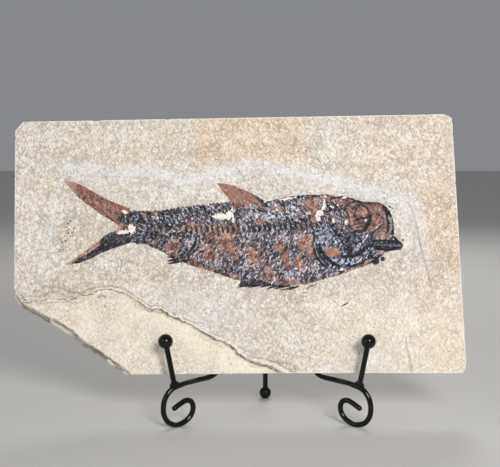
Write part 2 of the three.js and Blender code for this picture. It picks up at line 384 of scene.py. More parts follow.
# Hairline cracks: points, half width, depth
STONE_CRACKS = [
    ([(111.3, 25), (112.8, 17), (114, 9.6), (115.5, 2.9), (116.8, 0)], 0.3, 0.65),
    ([(114.5, 121), (119.5, 108), (122.5, 92), (127, 72), (132, 48.5)], 0.35, 0.6),
    ([(-12, 31), (-7, 28), (-3.2, 23)], 0.3, 0.7),
    ([(27.4, 40.6), (32, 36), (34, 31), (35.4, 26.4)], 0.3, 0.6),
    ([(-124, 57.7), (-117, 55.4), (-110, 54.2), (-104, 56.4), (-97, 59)], 0.45, 0.8),
    ([(-150, 52.5), (-138, 52), (-128, 55), (-120, 54.5)], 0.35, 0.6),
    ([(-72.8, 53.6), (-68, 46), (-63.9, 42.8), (-55, 41), (-47.5, 40.3)], 0.35, 0.5),
    ([(21.8, 6.6), (28, 7.2), (33.9, 6), (39, 0.6)], 0.4, 0.7),
    ([(139, 31), (144, 28), (149, 27)], 0.3, 0.4),
    ([(-150, 54.5), (-148.5, 50.8), (-146, 48), (-143.5, 46.2)], 0.4, 0.9),
    ([(-140, 60), (-128, 58), (-118, 58.6), (-108, 61), (-100, 60), (-92, 62)], 0.25, 0.5),
    ([(-146, 56.5), (-134, 54.6), (-124, 53.4), (-112, 50.6), (-106, 51.4)], 0.25, 0.55),
    ([(-144, 46.6), (-132, 47.6), (-122, 48.4), (-112, 47.4), (-104, 49.4)], 0.25, 0.45),
    ([(-106, 56.4), (-98, 58.4), (-90, 58.8), (-80, 57.4), (-72, 52)], 0.3, 0.7),
    ([(-98, 51.2), (-94.6, 52.4), (-91.4, 51.8)], 0.45, 1.0),
    ([(-30, 26.4), (-20, 20.6), (-10, 16)], 0.3, 0.4),
]
# Small stains: strength, raggedness, middle, half width, half height
STAIN_SPOTS = [
    (0.6, 0.3, 141, 48, 4, 2.2), (0.7, 0.3, 139, 24, 7, 9), (0.4, 0.4, -62, 160, 16, 14),
    (0.4, 0.4, -95, 148, 14, 20),
]


def stone_face(x, y, settings):
    """Height of the stone's face and the masks for its colour."""
    wander = rough(x, y, 9, 21)
    height = 0.22 * rough(x, y, 60, 3, 2)
    edge = rounded(SPLIT_EDGE, 4)
    d, _ = along(x, y, edge)
    below = np.where(y < np.interp(x, *edge.T), d, -d) + 0.75 * rough(x, y, 3.4, 31) + 0.3 * wander
    spread = np.interp(x, [-150, -100, -75, -40, 35], [7, 7, 3.2, 1.5, 2.2])
    step = settings.layer_step / MM
    height -= step * (0.42 * smooth(-0.25, 0.3, below)
                      + 0.30 * smooth(-0.3, 0.3, below - 0.45 * spread - 0.5 * wander)
                      + 0.28 * smooth(-0.3, 0.3, below - spread + 0.8 * wander))
    lower = smooth(-0.3, 0.8, below)
    # Lines along each layer's edge, for painted shade where the face steps down
    ledge = np.exp(-((below - 0.1) / 0.55) ** 2)
    ledge += 0.55 * np.exp(-((below - 0.45 * spread - 0.5 * wander) / 0.4) ** 2)
    ledge += 0.4 * np.exp(-((below - spread + 0.8 * wander) / 0.4) ** 2)
    prepared = smooth(-2.0, 3.5, depth_inside(x, y, PREPARED_ZONE) + 1.2 * wander)
    prepared *= 1 - lower
    height -= settings.recess / MM * prepared
    lumps = rough(x, y, 4.6, 77, 2)
    wx, wy = x + 0.9 * ripple(x, y, 4, 79), y + 0.9 * ripple(x, y, 4, 80)
    _, _, seams = flakes(wx, wy, 3.9, 3.3, 0.4, 82)
    seams = smooth(0.16, 0.02, seams) * smooth(-0.5, 0.5, ripple(x, y, 14, 83))
    height += prepared * (0.13 * lumps - 0.10 * seams)
    height += (1 - prepared) * 0.05 * rough(x, y, 7, 78, 2)
    grain = settings.grain_height / MM
    height += grain * rough(x, y, 2.4, 5, 2)
    # Cracks, lowered in the height and painted dark in colour
    crack = np.zeros_like(height)
    for points, width, depth in STONE_CRACKS:
        cd, ct = along(x + 0.5 * wander, y + 0.4 * lumps, rounded(points, 4))
        fade = smooth(0, 0.15, ct) * smooth(1.0, 0.85, ct)
        line = np.exp(-(cd / (width + 0.25)) ** 2) * fade
        crack = np.maximum(crack, depth * line)
    height -= 0.35 * crack

    halo, _ = along(x, y, rounded(PREPARED_ZONE[:14], 5))
    scratch = smooth(-0.05, 0.5, rough(x * 0.5 - 0.2 * y, y * 1.4, 2.4, 61))
    pale = np.exp(-((halo - 1.5) / 4.4) ** 2) * (0.45 + 0.55 * scratch)
    bright = 1.1 * np.exp(-((halo + 0.4 * wander) / 1.9) ** 2)
    pale = np.maximum(pale, bright * smooth(100, 120, y + 0.1 * x))
    left_line, _ = along(x, y, [(-122.2, 140.8), (-127.2, 121.5), (-132.5, 88.3), (-139.3, 63.8)])
    pale = np.maximum(pale, (0.75 + 0.25 * scratch) * np.exp(-((left_line + 0.5 * wander) / 1.2) ** 2))
    under_belly = smooth(0, 0.5, oval(x, y, -30, 44, 50, 20, -0.3)) * (1 - lower)
    pale = np.maximum(pale, (0.25 + 0.3 * scratch) * under_belly)
    pale = np.maximum(pale, 0.85 * prepared * scratch * smooth(85, 120, y + 0.15 * x))
    pale = np.maximum(pale, 0.6 * np.exp(-((y - 3 - 0.02 * x) / 4.5) ** 2)
                      * smooth(30, 50, x) * smooth(120, 100, x) * scratch)
    blot = 3.2 * rough(x, y, 9, 95, 3)
    stain = smooth(-37, -29, x + blot) * smooth(51, 42, x + blot) * smooth(128, 160, y)
    stain = np.maximum(stain, 0.8 * smooth(116, 126, x + 2 * wander)
                       * smooth(52, 76, y) * smooth(142, 128, y))
    stain = np.maximum(stain, 0.35 * smooth(108, 135, x))
    # Darker towards the top right corner: painted shade, carried in the stain mask
    stain = np.maximum(stain, 0.4 * smooth(60, 90, x) * smooth(125, 150, y))
    golden = smooth(26, 4, below - 9 * rough(x, y, 16, 94)) * smooth(-82, -52, x)
    warm = lower * (0.45 + 0.3 * smooth(-0.5, 0.6, rough(x, y, 26, 91)) + 0.45 * golden)
    # Lighter and warmer towards the lower right: painted light, carried in the warm mask
    warm = np.maximum(warm, 0.5 * smooth(20, 90, x) * smooth(70, 30, y))
    stain = np.maximum(stain, 0.35 * lower * smooth(0.1, 0.6, rough(x, y, 18, 92)))
    lip = np.exp(-((below + 0.45) / 0.45) ** 2) * smooth(-0.3, 0.5, rough(x, y, 6, 93))
    for strength, ragged, *spot in STAIN_SPOTS:
        stain = np.maximum(stain, strength * np.clip(oval(x, y, *spot) + ragged * wander, 0, 1))
    cliff = np.clip(below * np.interp(x, [-100, -60, 20], [1.5, 0.85, 0.42]), -CLIFF_REACH, CLIFF_REACH)
    return height, {
        "stain": stain, "pale": pale, "warm": warm, "chipped": 0.55 * lip,
        "crevice": np.clip(crack + 0.55 * ledge * smooth(-0.6, 0.2, wander + 0.4), 0, 1),
        "cliff": cliff / (2 * CLIFF_REACH) + 0.5,
        "worked": prepared * (0.5 + 0.5 * smooth(-0.3, 0.5, ripple(x, y, 16, 84))),
        "lumps": prepared * np.maximum(0.8 * smooth(0.05, 0.75, -lumps), 0.85 * seams),
    }


# ---------------------------------------------------------------------------
# The fish's relief
# ---------------------------------------------------------------------------

# Patches: middle, half width, half height, turn
BROWN_PATCHES = [
    (-82.6, 99.6, 4.4, 3, 0.3), (-59.3, 110, 4.4, 2.6, 0.2), (-66, 107.8, 2.2, 2, 0),
    (-59, 98, 3, 1.3, 0.1), (-52, 96.7, 4.5, 1.3, 0), (-60, 89, 4.8, 2.3, -0.3),
    (-46.6, 85.5, 5.2, 6.4, -0.4),
    (-33.3, 100, 5.5, 5.5, 0), (-21, 97, 6, 6, 0), (-10, 90, 8.5, 14, 0.25), (-33.5, 76, 6, 3, -0.2),
    (-20, 99, 21, 3, 0), (-22, 82, 6, 7, 0.3), (13.5, 103, 6, 2.3, 0.1), (25, 112.6, 4.2, 2.4, -0.3),
    (8.6, 80, 6.5, 10, 0.3), (17.5, 69, 6, 7, 0.4), (26.5, 87, 4, 6, 0.4), (31, 76, 4, 9, 0.4),
    (44.5, 88.5, 6.5, 11.5, 0.35), (40, 73, 4.5, 8, 0.35), (49, 116, 9, 6.5, 0.3),
    (62, 119.8, 8, 3, 0.1), (50.4, 107, 3.4, 6, -0.1), (-4.6, 66, 5, 1.8, -0.25), (33, 61, 9, 3, 0.1),
    (72, 67.6, 15, 2.8, 0.33), (-25, 71, 8, 2, -0.2), (86, 74.5, 7, 2.6, 0.42),
    (83.2, 109.4, 4.8, 4.4, 0), (81.5, 101, 6.5, 4.4, 0.2), (94.5, 106.5, 6.6, 9.8, 0),
    (91.4, 100, 3.4, 3.6, 0), (97, 94.4, 9, 3.4, -0.1), (99.6, 112, 3, 3.6, 0.4),
    (96.4, 82.2, 3.2, 1.9, 0), (69.5, 116.6, 4.5, 2.4, 0.2), (64, 108.6, 2.6, 2.2, 0),
    (89.6, 113.8, 4, 2.6, 0),
]
BARE_PATCHES = [
    (-13.5, 107, 6.8, 2.1, -0.12), (-8, 108.2, 3.2, 2.6, 0.5), (-5.4, 113.5, 1.2, 3.6, 0),
    (-5.2, 104.6, 0.9, 2.4, 0), (54.8, 109.6, 2.6, 2.3, 0.4), (53.5, 105.4, 1.6, 2.1, 0),
    (57, 113.4, 1.1, 3.4, -0.35), (57.4, 117.2, 0.7, 1.7, -0.2), (52.2, 108, 1.5, 1.2, 0),
    (-80.8, 96.3, 5.2, 1.5, 0.12), (32, 119.6, 5, 0.9, 0.12), (63.7, 104, 1, 2.1, -0.1),
    (63.1, 113.9, 1.5, 0.8, -0.4), (72.6, 103.1, 1.3, 2.1, 0.1), (-75.2, 98.4, 2.9, 3.6, 0.2),
    (-80, 110.2, 2.1, 1.2, -0.5),
    (86.2, 104.5, 0.8, 0.8, 0), (-46, 96.8, 0.9, 0.7, 0), (45.6, 109.4, 1, 0.8, 0.3),
    (38.5, 104.5, 0.9, 0.8, 0), (71.9, 120.6, 1.5, 0.8, 0), (-57.4, 106, 0.9, 1, 0),
    (69.3, 70.5, 1.6, 0.7, 0.3), (58, 121, 1.4, 0.6, 0),
]
# Painted blue-grey sheen, standing in for highlights on the glossy crust
PAINTED_SHEEN_PATCHES = [
    (23.5, 109, 12, 7, 0), (-36.7, 88, 6, 6, 0), (8, 108, 6, 8, 0),
    (30, 92, 9, 4, 0.1), (-20, 75, 9, 4, -0.2), (52, 70, 8, 7, 0.3), (40, 112, 8, 6, 0),
    (-62, 104, 7, 5, 0), (2, 95, 6, 7, 0), (36, 66, 10, 5, 0.2), (-42, 105, 9, 5, 0),
    (74.3, 83.6, 5.2, 3.4, 0.2), (85.6, 92.2, 2.6, 4, -0.5), (79, 76.8, 5.4, 2.2, 0.4),
    (68, 105, 4.5, 5, 0.4), (53, 75, 2.6, 7, -0.5), (70.3, 75.4, 5, 2.4, 0.2), (88, 78.6, 3.4, 2, 0.3),
]
GILL_COVER = [
    (55.2, 103.3), (61, 102.3), (64.8, 98.2), (67.7, 93.3), (70.5, 87.4), (66, 86.4), (56, 87.2),
    (52.7, 91.3), (51.8, 98.2),
]
BARE_CHEEK = [(55.6, 87), (60, 85.4), (67.2, 84.6), (68, 80.7), (62.7, 78.5), (59.6, 79.2)]
# Bones of the head: points, half width, height over the body, black crust, painted blue sheen along the crest
HEAD_BONES = [
    ([(53.6, 87.7), (55.5, 82.6), (58.3, 78.7), (62.2, 75.3), (67.9, 72.4)], 1.15, 0.65, 1, 0.0),
    ([(50, 84.5), (51.6, 80.2), (54.5, 75.8), (57.8, 71.9)], 1.0, 0.6, 1, 0.0),
    ([(51.8, 86.5), (53, 82.6), (56, 77.4), (60.2, 73.4)], 0.75, 0.5, 1, 0.3),
    ([(51.5, 82.6), (53.6, 78.3), (57.1, 74)], 0.42, 0.85, 1, 1.0),
    ([(47.6, 108), (47.6, 104), (49.4, 99.6), (50.3, 94.3), (50, 88.4)], 0.5, 0.4, 1, 0.3),
    ([(61, 102.1), (63.9, 97.7), (66.7, 93.8), (69.6, 89.4), (71.4, 86.5)], 0.5, 0.4, 1, 0.0),
    ([(91, 86.9), (86.9, 86.5), (83.9, 84), (81, 81.6), (77.1, 79.9), (71.8, 79.2), (68.6, 79.6)],
     1.15, 0.85, 1, 0.0),
    ([(70.4, 80.8), (75.4, 81.9), (79.8, 84.8)], 0.5, 0.6, 1, 0.9),
    ([(75.1, 73.9), (78, 74.5), (81.4, 76.4), (83.2, 79)], 0.8, 0.7, 1, 1.0),
    ([(71.6, 73.2), (76, 72.6), (81, 74), (86, 77.4)], 0.5, 0.4, 1, 0.0),
    ([(89.6, 107.9), (88.6, 104), (86.8, 99.8), (83.2, 97), (77.9, 96.8)], 1.15, 0.75, 1, 0.0),
    ([(78.2, 107.2), (78.6, 111), (81, 114), (84.6, 114.6), (87.4, 112.4), (88.4, 108.8)],
     0.65, 0.5, 0.8, 0.2),
    ([(76.6, 111), (77.8, 113.4), (82, 116), (87, 115.6)], 0.45, 0.35, 0.75, 0.2),
    ([(78.9, 104.2), (82.4, 105.8), (85.7, 106), (89.1, 107.5)], 0.6, 0.5, 1, 0.0),
    ([(76, 101), (79.5, 101.8), (84, 102.4)], 0.4, 0.35, 1, 0.2),
    ([(79.4, 99.4), (82.6, 100), (85.4, 101.4)], 0.35, 0.3, 1, 0.0),
    ([(97, 102.8), (93.4, 99.6), (89.2, 96.4)], 0.55, 0.5, 1, 0.85),
    ([(97.6, 101.6), (94.2, 98.4), (90, 95.2)], 0.35, 0.25, 1, 0.0),
    ([(94.4, 113), (94.8, 108.4), (92.2, 103)], 0.25, 0.2, 0.7, 0.0),
    ([(98.6, 104), (98, 99), (99.6, 95.4)], 0.3, 0.25, 0.8, 0.0),
    ([(61.6, 119), (65.1, 120.2), (68, 120.8), (72, 121.2), (75.8, 119.8)], 0.8, 0.5, 1, 0.1),
    ([(75.8, 119.8), (79.7, 118.6), (84, 117.2)], 1.0, 0.55, 1, 0.15),
    ([(85.6, 117), (90, 116.8), (95.6, 116.6), (99.3, 114.6)], 1.05, 0.75, 1, 0.3),
    ([(98, 114.1), (99.9, 111.4), (102.2, 108.9), (103.7, 107.2)], 1.0, 0.7, 1, 0.05),
    ([(100.6, 113.6), (103, 110.9), (104.3, 107.6)], 0.8, 0.6, 1, 0.0),
    ([(102, 107.2), (103.3, 103.5), (103.2, 99.1), (102.4, 95.9)], 2.1, 0.9, 1, 0.62),
    ([(104.7, 106.5), (105.2, 102.6), (105.2, 98.2), (104.8, 94.2)], 0.6, 0.75, 1, 0.0),
    ([(100.2, 107.6), (101, 103), (100.9, 98.4), (100, 95.4)], 0.5, 0.5, 1, 0.0),
    ([(60.2, 112.6), (66, 111.4), (70.8, 112.9), (74.8, 115.8)], 0.7, 0.45, 0.8, 0.2),
    ([(74.8, 115.8), (77.7, 117.4), (82.1, 117.6)], 0.6, 0.4, 1, 0.1),
    ([(61.6, 118.6), (63.6, 115.2), (65.4, 111.6)], 0.6, 0.4, 0.8, 0.1),
    ([(60.4, 112.4), (61.2, 108), (60.4, 104.4)], 0.45, 0.35, 0.8, 0.2),
    ([(66, 111.4), (67.8, 107), (69.6, 103), (69.4, 98.4)], 0.7, 0.5, 0.8, 0.55),
    ([(70.8, 112.9), (73.6, 108.6), (75, 104), (74.2, 99.4)], 0.55, 0.4, 0.75, 0.3),
    ([(65.8, 108.2), (69.6, 107), (74.4, 105.2)], 0.45, 0.4, 1, 0.5),
    ([(90.4, 89.6), (96.1, 90.3), (101.4, 90.1), (107, 89.7)], 0.8, 0.75, 1, 0.0),
    ([(90.7, 87.4), (98.4, 87.3), (104.7, 87), (111, 86.5)], 1.8, 1.0, 1, 0.38),
    ([(91.2, 85), (98.4, 84.2), (104.6, 84.2), (110, 84.9)], 0.8, 0.8, 1, 0.0),
    ([(105.6, 93), (107.6, 90.6), (110.4, 87.9)], 1.0, 0.7, 1, 0.1),
    ([(83.4, 89.2), (85.8, 91.8), (87.2, 94.4)], 1.2, 0.5, 1, 0.95),
    ([(88.4, 96.4), (90, 92.6), (88.8, 89)], 0.5, 0.4, 1, 0.0),
    ([(67.7, 98.2), (71.6, 95.2), (75.4, 96.2), (79.3, 94.3)], 0.5, 0.4, 1, 0.2),
    ([(68, 72.2), (71, 74.6), (72, 78.6)], 0.45, 0.35, 1, 0.4),
]
# Round knobs and rings: centre, radius, height
HEAD_KNOBS = [
    (92.5, 76.4, 2.8, 0.8), (97.4, 77.8, 1.8, 0.6), (73.6, 84.2, 3.0, 0.4), (88.7, 79.2, 1.7, 0.5),
    (99.4, 112.8, 1.4, 0.6), (102.6, 113.6, 0.9, 0.5), (103.4, 110.2, 1.1, 0.6), (100.6, 108.6, 1.1, 0.5),
]


def sunk_rim(height, rise):
    """The height of a piece of the fossil, with its rim sunk into the stone."""
    return np.maximum(height, 0.12) * rise - 0.45 * (1 - rise)


def fish_body(x, y, settings):
    """Height of the fish over the stone and the masks for its colour."""
    d = depth_inside(x, y, BODY_OUTLINE)
    for cx, cy, radius, _ in HEAD_KNOBS[:2]:
        d = np.maximum(d, radius - np.hypot(x - cx, y - cy))
    fine = rough(x, y, 1.1, 11, 2)
    d = d + 0.35 * rough(x, y, 2.6, 12, 2) + 0.2 * fine
    scallop = smooth(96, 108, y) * smooth(2, -12, x)
    d = d + scallop * 0.40 * np.cos(2 * math.pi * x / 2.7 + 1.5 * ripple(x, 0 * x, 9, 13))
    shoulder_x, shoulder_y = rounded(SHOULDER_LINE, 4).T
    head = smooth(-0.6, 0.9, x - np.interp(-y, -shoulder_y, shoulder_x))
    spine_y = np.interp(x, *np.array(BACKBONE).T)
    up = y - spine_y
    relief = settings.relief / MM

    # Long flakes of bone and crust: leaning forwards over the backbone and backwards under it
    above = flakes(x, y, 3.0, 1.05, math.radians(-58), 101)
    below = flakes(x, y, 3.6, 1.1, math.radians(62), 131)
    loose = flakes(x, y, 2.6, 1.25, math.radians(18), 151)
    pick = smooth(-1, 1, up + 0.8 * ripple(x, y, 5, 15))
    mix_in = smooth(0.1, 0.5, ripple(x, y, 6, 16)) * 0.7
    number, slope, gap = [a * pick + b * (1 - pick) for a, b in zip(above, below)]
    use_loose = (chance(np.floor(x / 3.1).astype(np.int64), np.floor(y / 2.7).astype(np.int64), 19)
                 < np.maximum(0.8 * head, 0.5 * mix_in))
    number, slope, gap = [np.where(use_loose, c, v) for v, c in zip((number, slope, gap), loose)]
    # Painted shade in the gaps between flakes
    deep = smooth(0.20, 0.03, gap)

    # Spines over the backbone and ribs under it
    drift = 0.22 * ripple(x, y, 8, 41)
    spines = np.cos(2 * math.pi * ((x + 0.6 * up) / 3.1 + drift))
    ribs = np.cos(2 * math.pi * ((x - 0.52 * up) / 3.0 + drift))
    bars = np.where(up > 0, spines, ribs)
    bars = np.clip(bars, 0, 1) ** 1.4 * smooth(-0.5, 0.3, ripple(x, y, 6, 43)) * (1 - head)

    backbone = np.exp(-(up / 2.0) ** 4) * (1 - head) * smooth(-72, -60, x)
    uneven = ripple(x, 0 * x, 5, 46)
    joints = 0.5 + 0.5 * np.cos(2 * math.pi * x / 3.6 + 0.9 * uneven + 0.3 * up)
    gaps = smooth(0.55, 0.25, joints + 0.16 * fine) * smooth(2.7, 1.9, np.abs(up + 0.3 + 0.6 * uneven))
    gaps = gaps * (1 - head) * (smooth(-44, -38, x) * smooth(-1.1, -0.5, ripple(x, y, 6, 44)))
    bed = smooth(2.6, 1.6, np.abs(up) + 0.5 * fine) * smooth(-44, -38, x) * smooth(6, -4, x) * (1 - head)
    # A painted glint between the vertebrae, over the front of the backbone
    painted_bone_glint = np.exp(-(up / 1.9) ** 4) * (1 - head) * smooth(0.4, 0.7, joints) * smooth(-6, 4, x)

    brown = np.full(x.shape, -1.0)
    for patch in BROWN_PATCHES:
        brown = np.maximum(brown, oval(x, y, *patch))
    ribcage = smooth(-2, 6, x) * smooth(54, 46, x) * smooth(-3, -7, up) * smooth(58, 66, y)
    ragged = 0.42 * rough(x, y, 3.2, 51) + 0.22 * fine
    streak = 0.8 * ripple((x - 0.52 * up) * 2.2, y * 0.35, 3, 52) * (0.4 + ribcage)
    brown = brown + ragged + streak + 0.25 * ribcage * ripple((x - 0.5 * up), y * 0.35, 2.2, 53)
    other = (number * 7.31) % 1.0
    rib_mark = ripple((x - 0.52 * up) * 1.5, y * 0.2, 3, 56)
    rib_mark = rib_mark + 0.5 * ripple((x - 0.52 * up) * 3, y * 0.3, 3, 57)
    brown = brown + ribcage * (0.75 * rib_mark - 0.10)
    brown = brown + 0.16 * smooth(2, -6, x) * smooth(-2, -6, up) * smooth(-62, -54, x)
    back = smooth(10, -10, x) * smooth(0, 3, up)
    brown = brown + 0.35 * (other > 0.80) * (1 - 0.6 * head) * (1 - 0.8 * back) - 0.3 * (other < 0.16)
    front = head * smooth(92, 96, y) * smooth(70, 76, x)
    brown = np.maximum(brown, front * (0.36 + 0.28 * rough(x, y, 2.4, 54, 2)))
    brown = np.maximum(brown, head * smooth(91, 95, y) * (0.02 + 0.5 * rough(x, y, 2.4, 55, 2)) - (1 - head))
    crust = np.clip(0.92 - 1.6 * brown, 0.05, 0.95)
    edge_strip = smooth(2.2, 0.7, d) * smooth(70, 64, y - 0.3 * np.maximum(x - 60, 0)) * smooth(-40, -20, x)
    crust *= 1 - 0.75 * edge_strip

    # Painted sheen: lighter blue-grey where the glossy crust would catch the light
    painted_sheen = np.full(x.shape, -1.0)
    for patch in PAINTED_SHEEN_PATCHES:
        painted_sheen = np.maximum(painted_sheen, oval(x, y, *patch))
    painted_sheen = smooth(-0.15, 0.5, painted_sheen + 0.3 * ragged)
    dark_back = smooth(-20, -45, x + 0.6 * up)
    leaning = x + np.where(up > 0, 0.6, -0.52) * up
    patchy = 0.7 * ripple(x, y, 6.5, 17) + 0.8 * ripple(1.2 * leaning, 0.22 * y, 2.6, 18)
    # How far the crust is lifted from black to slate, with painted glints and sheen standing in for its
    # highlights
    glint = (0.14 - 0.14 * dark_back + 0.24 * painted_sheen + 0.26 * patchy) * (1 - head)
    glint += (0.10 + 0.32 * painted_sheen) * head
    middle = smooth(-25, -5, x) * (1 - head)
    glint += 0.15 * middle + 0.13 * head - 0.11 * smooth(-50, -62, x)
    glint -= ribcage * (0.16 * rib_mark - 0.05)
    glint += 0.12 * head * smooth(105, 112, y)
    # Flakes tilted one way get a painted glint, as if they catch the light
    turned = smooth(0.62, 0.8, number) * smooth(-0.3, 0.2, slope)
    glint += (0.42 - 0.15 * dark_back) * turned * (0.5 + 0.5 * painted_sheen)
    glint = np.maximum(glint, 0.45 * painted_bone_glint) * (1 - 0.6 * deep)
    # Painted shade between the ribs and spines, and in the flake gaps
    deep = np.maximum(0.5 * deep, 0.6 * smooth(0.1, 0.8, -np.where(up > 0, spines, ribs))
                      * smooth(-0.1, 0.5, ripple(x, y, 7, 45)) * (1 - head) * smooth(1.5, 3, np.abs(up)))

    height = relief * (0.55 + 0.45 * smooth(0.0, 7.0, d))
    height += crust * (0.55 * (number - 0.4) + 0.7 * slope * (0.35 + number) - 0.35 * deep)
    height += (1 - crust) * (0.10 * (number - 0.5) + 0.10 * slope + 0.05 * fine) - 0.12 * (1 - crust)
    height += 0.22 * bars * (0.5 + 0.5 * crust)
    height += backbone * (0.3 * joints - 0.1)
    crust *= 1 - 0.75 * bed
    deep = np.maximum(deep * (1 - 0.8 * bed), 1.15 * gaps)
    crust = np.maximum(crust, gaps)
    height += 0.35 * head * smooth(0, 5, d)
    opercle = smooth(-0.3, 0.6, depth_inside(x, y, GILL_COVER) + 0.6 * fine)
    rays = np.cos(13 * np.arctan2(y - 106, x - 58) + 1.5 * ripple(x, y, 4, 71))
    height += opercle * (0.25 + 0.08 * rays)
    crust = np.maximum(crust, opercle)
    # Painted sheen on the gill cover's rays
    glint = np.maximum(glint, opercle * (0.26 + 0.22 * smooth(0.2, 0.9, rays) * smooth(-0.3, 0.5, fine)))
    dark_cheek = smooth(0.0, 0.25, oval(x, y, 76, 91.5, 8, 4.8, -0.2) + 0.3 * ragged)
    crust = crust * (1 - dark_cheek) + 0.90 * dark_cheek
    low_head = 0.34 * head * smooth(98, 94, y) * (1 - 0.7 * dark_cheek)
    glint = np.maximum(glint * (1 - 0.6 * dark_cheek), low_head)
    cheek = smooth(-0.2, 0.3, depth_inside(x, y, BARE_CHEEK) + 0.25 * fine)
    crust *= 1 - cheek
    deep *= 1 - cheek
    calm = 0.32 * middle + 0.24 * head + 0.25 * front + 0.35 * cheek

    rust = smooth(-0.6, 0.8, rough(x, y, 5, 81, 2) + 0.05 * head) + 0.06 * middle
    rust -= 0.28 * smooth(0, 0.5, oval(x, y, 83, 106, 9, 10))
    cool = head * smooth(104, 98, y) + 0.5 * smooth(-45, -55, x)
    for points, half, tall, black, painted_crest_sheen in HEAD_BONES:
        pts = rounded(points, 5)
        close = ((x > pts[:, 0].min() - 3) & (x < pts[:, 0].max() + 3)
                 & (y > pts[:, 1].min() - 3) & (y < pts[:, 1].max() + 3))
        if not close.any():
            continue
        bx, by = x[close], y[close]
        bd, bt = along(bx + 0.18 * ripple(bx, by, 1.6, 95), by + 0.18 * ripple(bx, by, 1.6, 96), pts)
        reach = half * (0.50 + 0.35 * smooth(0, 0.16, bt) * smooth(1, 0.84, bt)) + 0.1
        shape = np.clip(1 - (bd / reach) ** 2, 0, 1)
        cover = smooth(0, 0.25, shape)
        height[close] += tall * np.sqrt(shape) * 0.85 - 0.22 * smooth(reach + 0.55, reach, bd) * (1 - cover)
        crust[close] += cover * (black - crust[close])
        calm[close] = np.maximum(calm[close], cover * (0.9 - 1.8 * (1 - black)))
        worn = (1 if half < 1.2 else 0.3) * (0.45 * ripple(bx, by, 2.2, 97) + 0.3 * ripple(bx, by, 0.9, 96))
        # A painted glint along each bone's crest
        painted_crest_glint = cover * painted_crest_sheen * smooth(0.30, 0.85, shape + worn)
        glint[close] = glint[close] * (1 - cover) + painted_crest_glint
        # Painted shade beside each raised bone
        side = smooth(reach + 0.4, reach, bd) * (1 - cover)
        deep[close] = np.maximum(deep[close] * (1 - cover), (0.5 + 0.4 * smooth(0.5, 1.0, half)) * side)
    for cx, cy, radius, tall in HEAD_KNOBS:
        r = np.hypot(x - cx, y - cy) / radius
        knob = np.clip(1 - r ** 2, 0, 1)
        ring = np.exp(-((r - 0.75) / 0.28) ** 2)
        height += tall * (0.45 * np.sqrt(knob) + 0.6 * ring)
        crust = np.maximum(crust, smooth(1.2, 1.0, r))
        # A painted glint on each ring
        glint = np.where(r < 1.1, 0.55 * ring * smooth(0.0, 0.5, ripple(x, y, 1.6, 99)), glint)
        calm = np.maximum(calm, 0.8 * smooth(1.2, 1.0, r))

    bare = np.full(x.shape, -1.0)
    for patch in BARE_PATCHES:
        bare = np.maximum(bare, oval(x, y, *patch))
    bare = smooth(0.02, 0.16, bare + 0.42 * fine + 0.3 * ragged)
    height = height * (1 - bare) + bare * (0.16 + 0.05 * fine)
    rise = smooth(-0.1, 0.75, d)
    height = sunk_rim(height, rise)
    rim = smooth(0.9, 0.2, d) * smooth(0.1, 0.6, ripple(x, y, 5, 98)) * (1 - crust)
    return d, height, {
        "crust": crust * (1 - bare), "glint": glint * (1 - bare), "bare": bare,
        "deep": deep * (1 - bare) * (0.5 + 0.5 * crust), "rust": rust, "calm": calm,
        "peach": np.maximum(rim, 0.4 * cheek), "cool": cool,
    }


def rays_along(x, y, start, end, pitch, seed):
    """Fine fin rays that fan out a little from start to end."""
    (ax, ay), (bx, by) = start, end
    long = math.hypot(bx - ax, by - ay)
    ux, uy = (bx - ax) / long, (by - ay) / long
    t = ((x - ax) * ux + (y - ay) * uy) / long
    across = -(x - ax) * uy + (y - ay) * ux
    ray = np.cos(2 * math.pi * (across / (pitch * (1.15 - 0.35 * t)) + 0.12 * ripple(x, y, 6, seed)))
    return t, ray


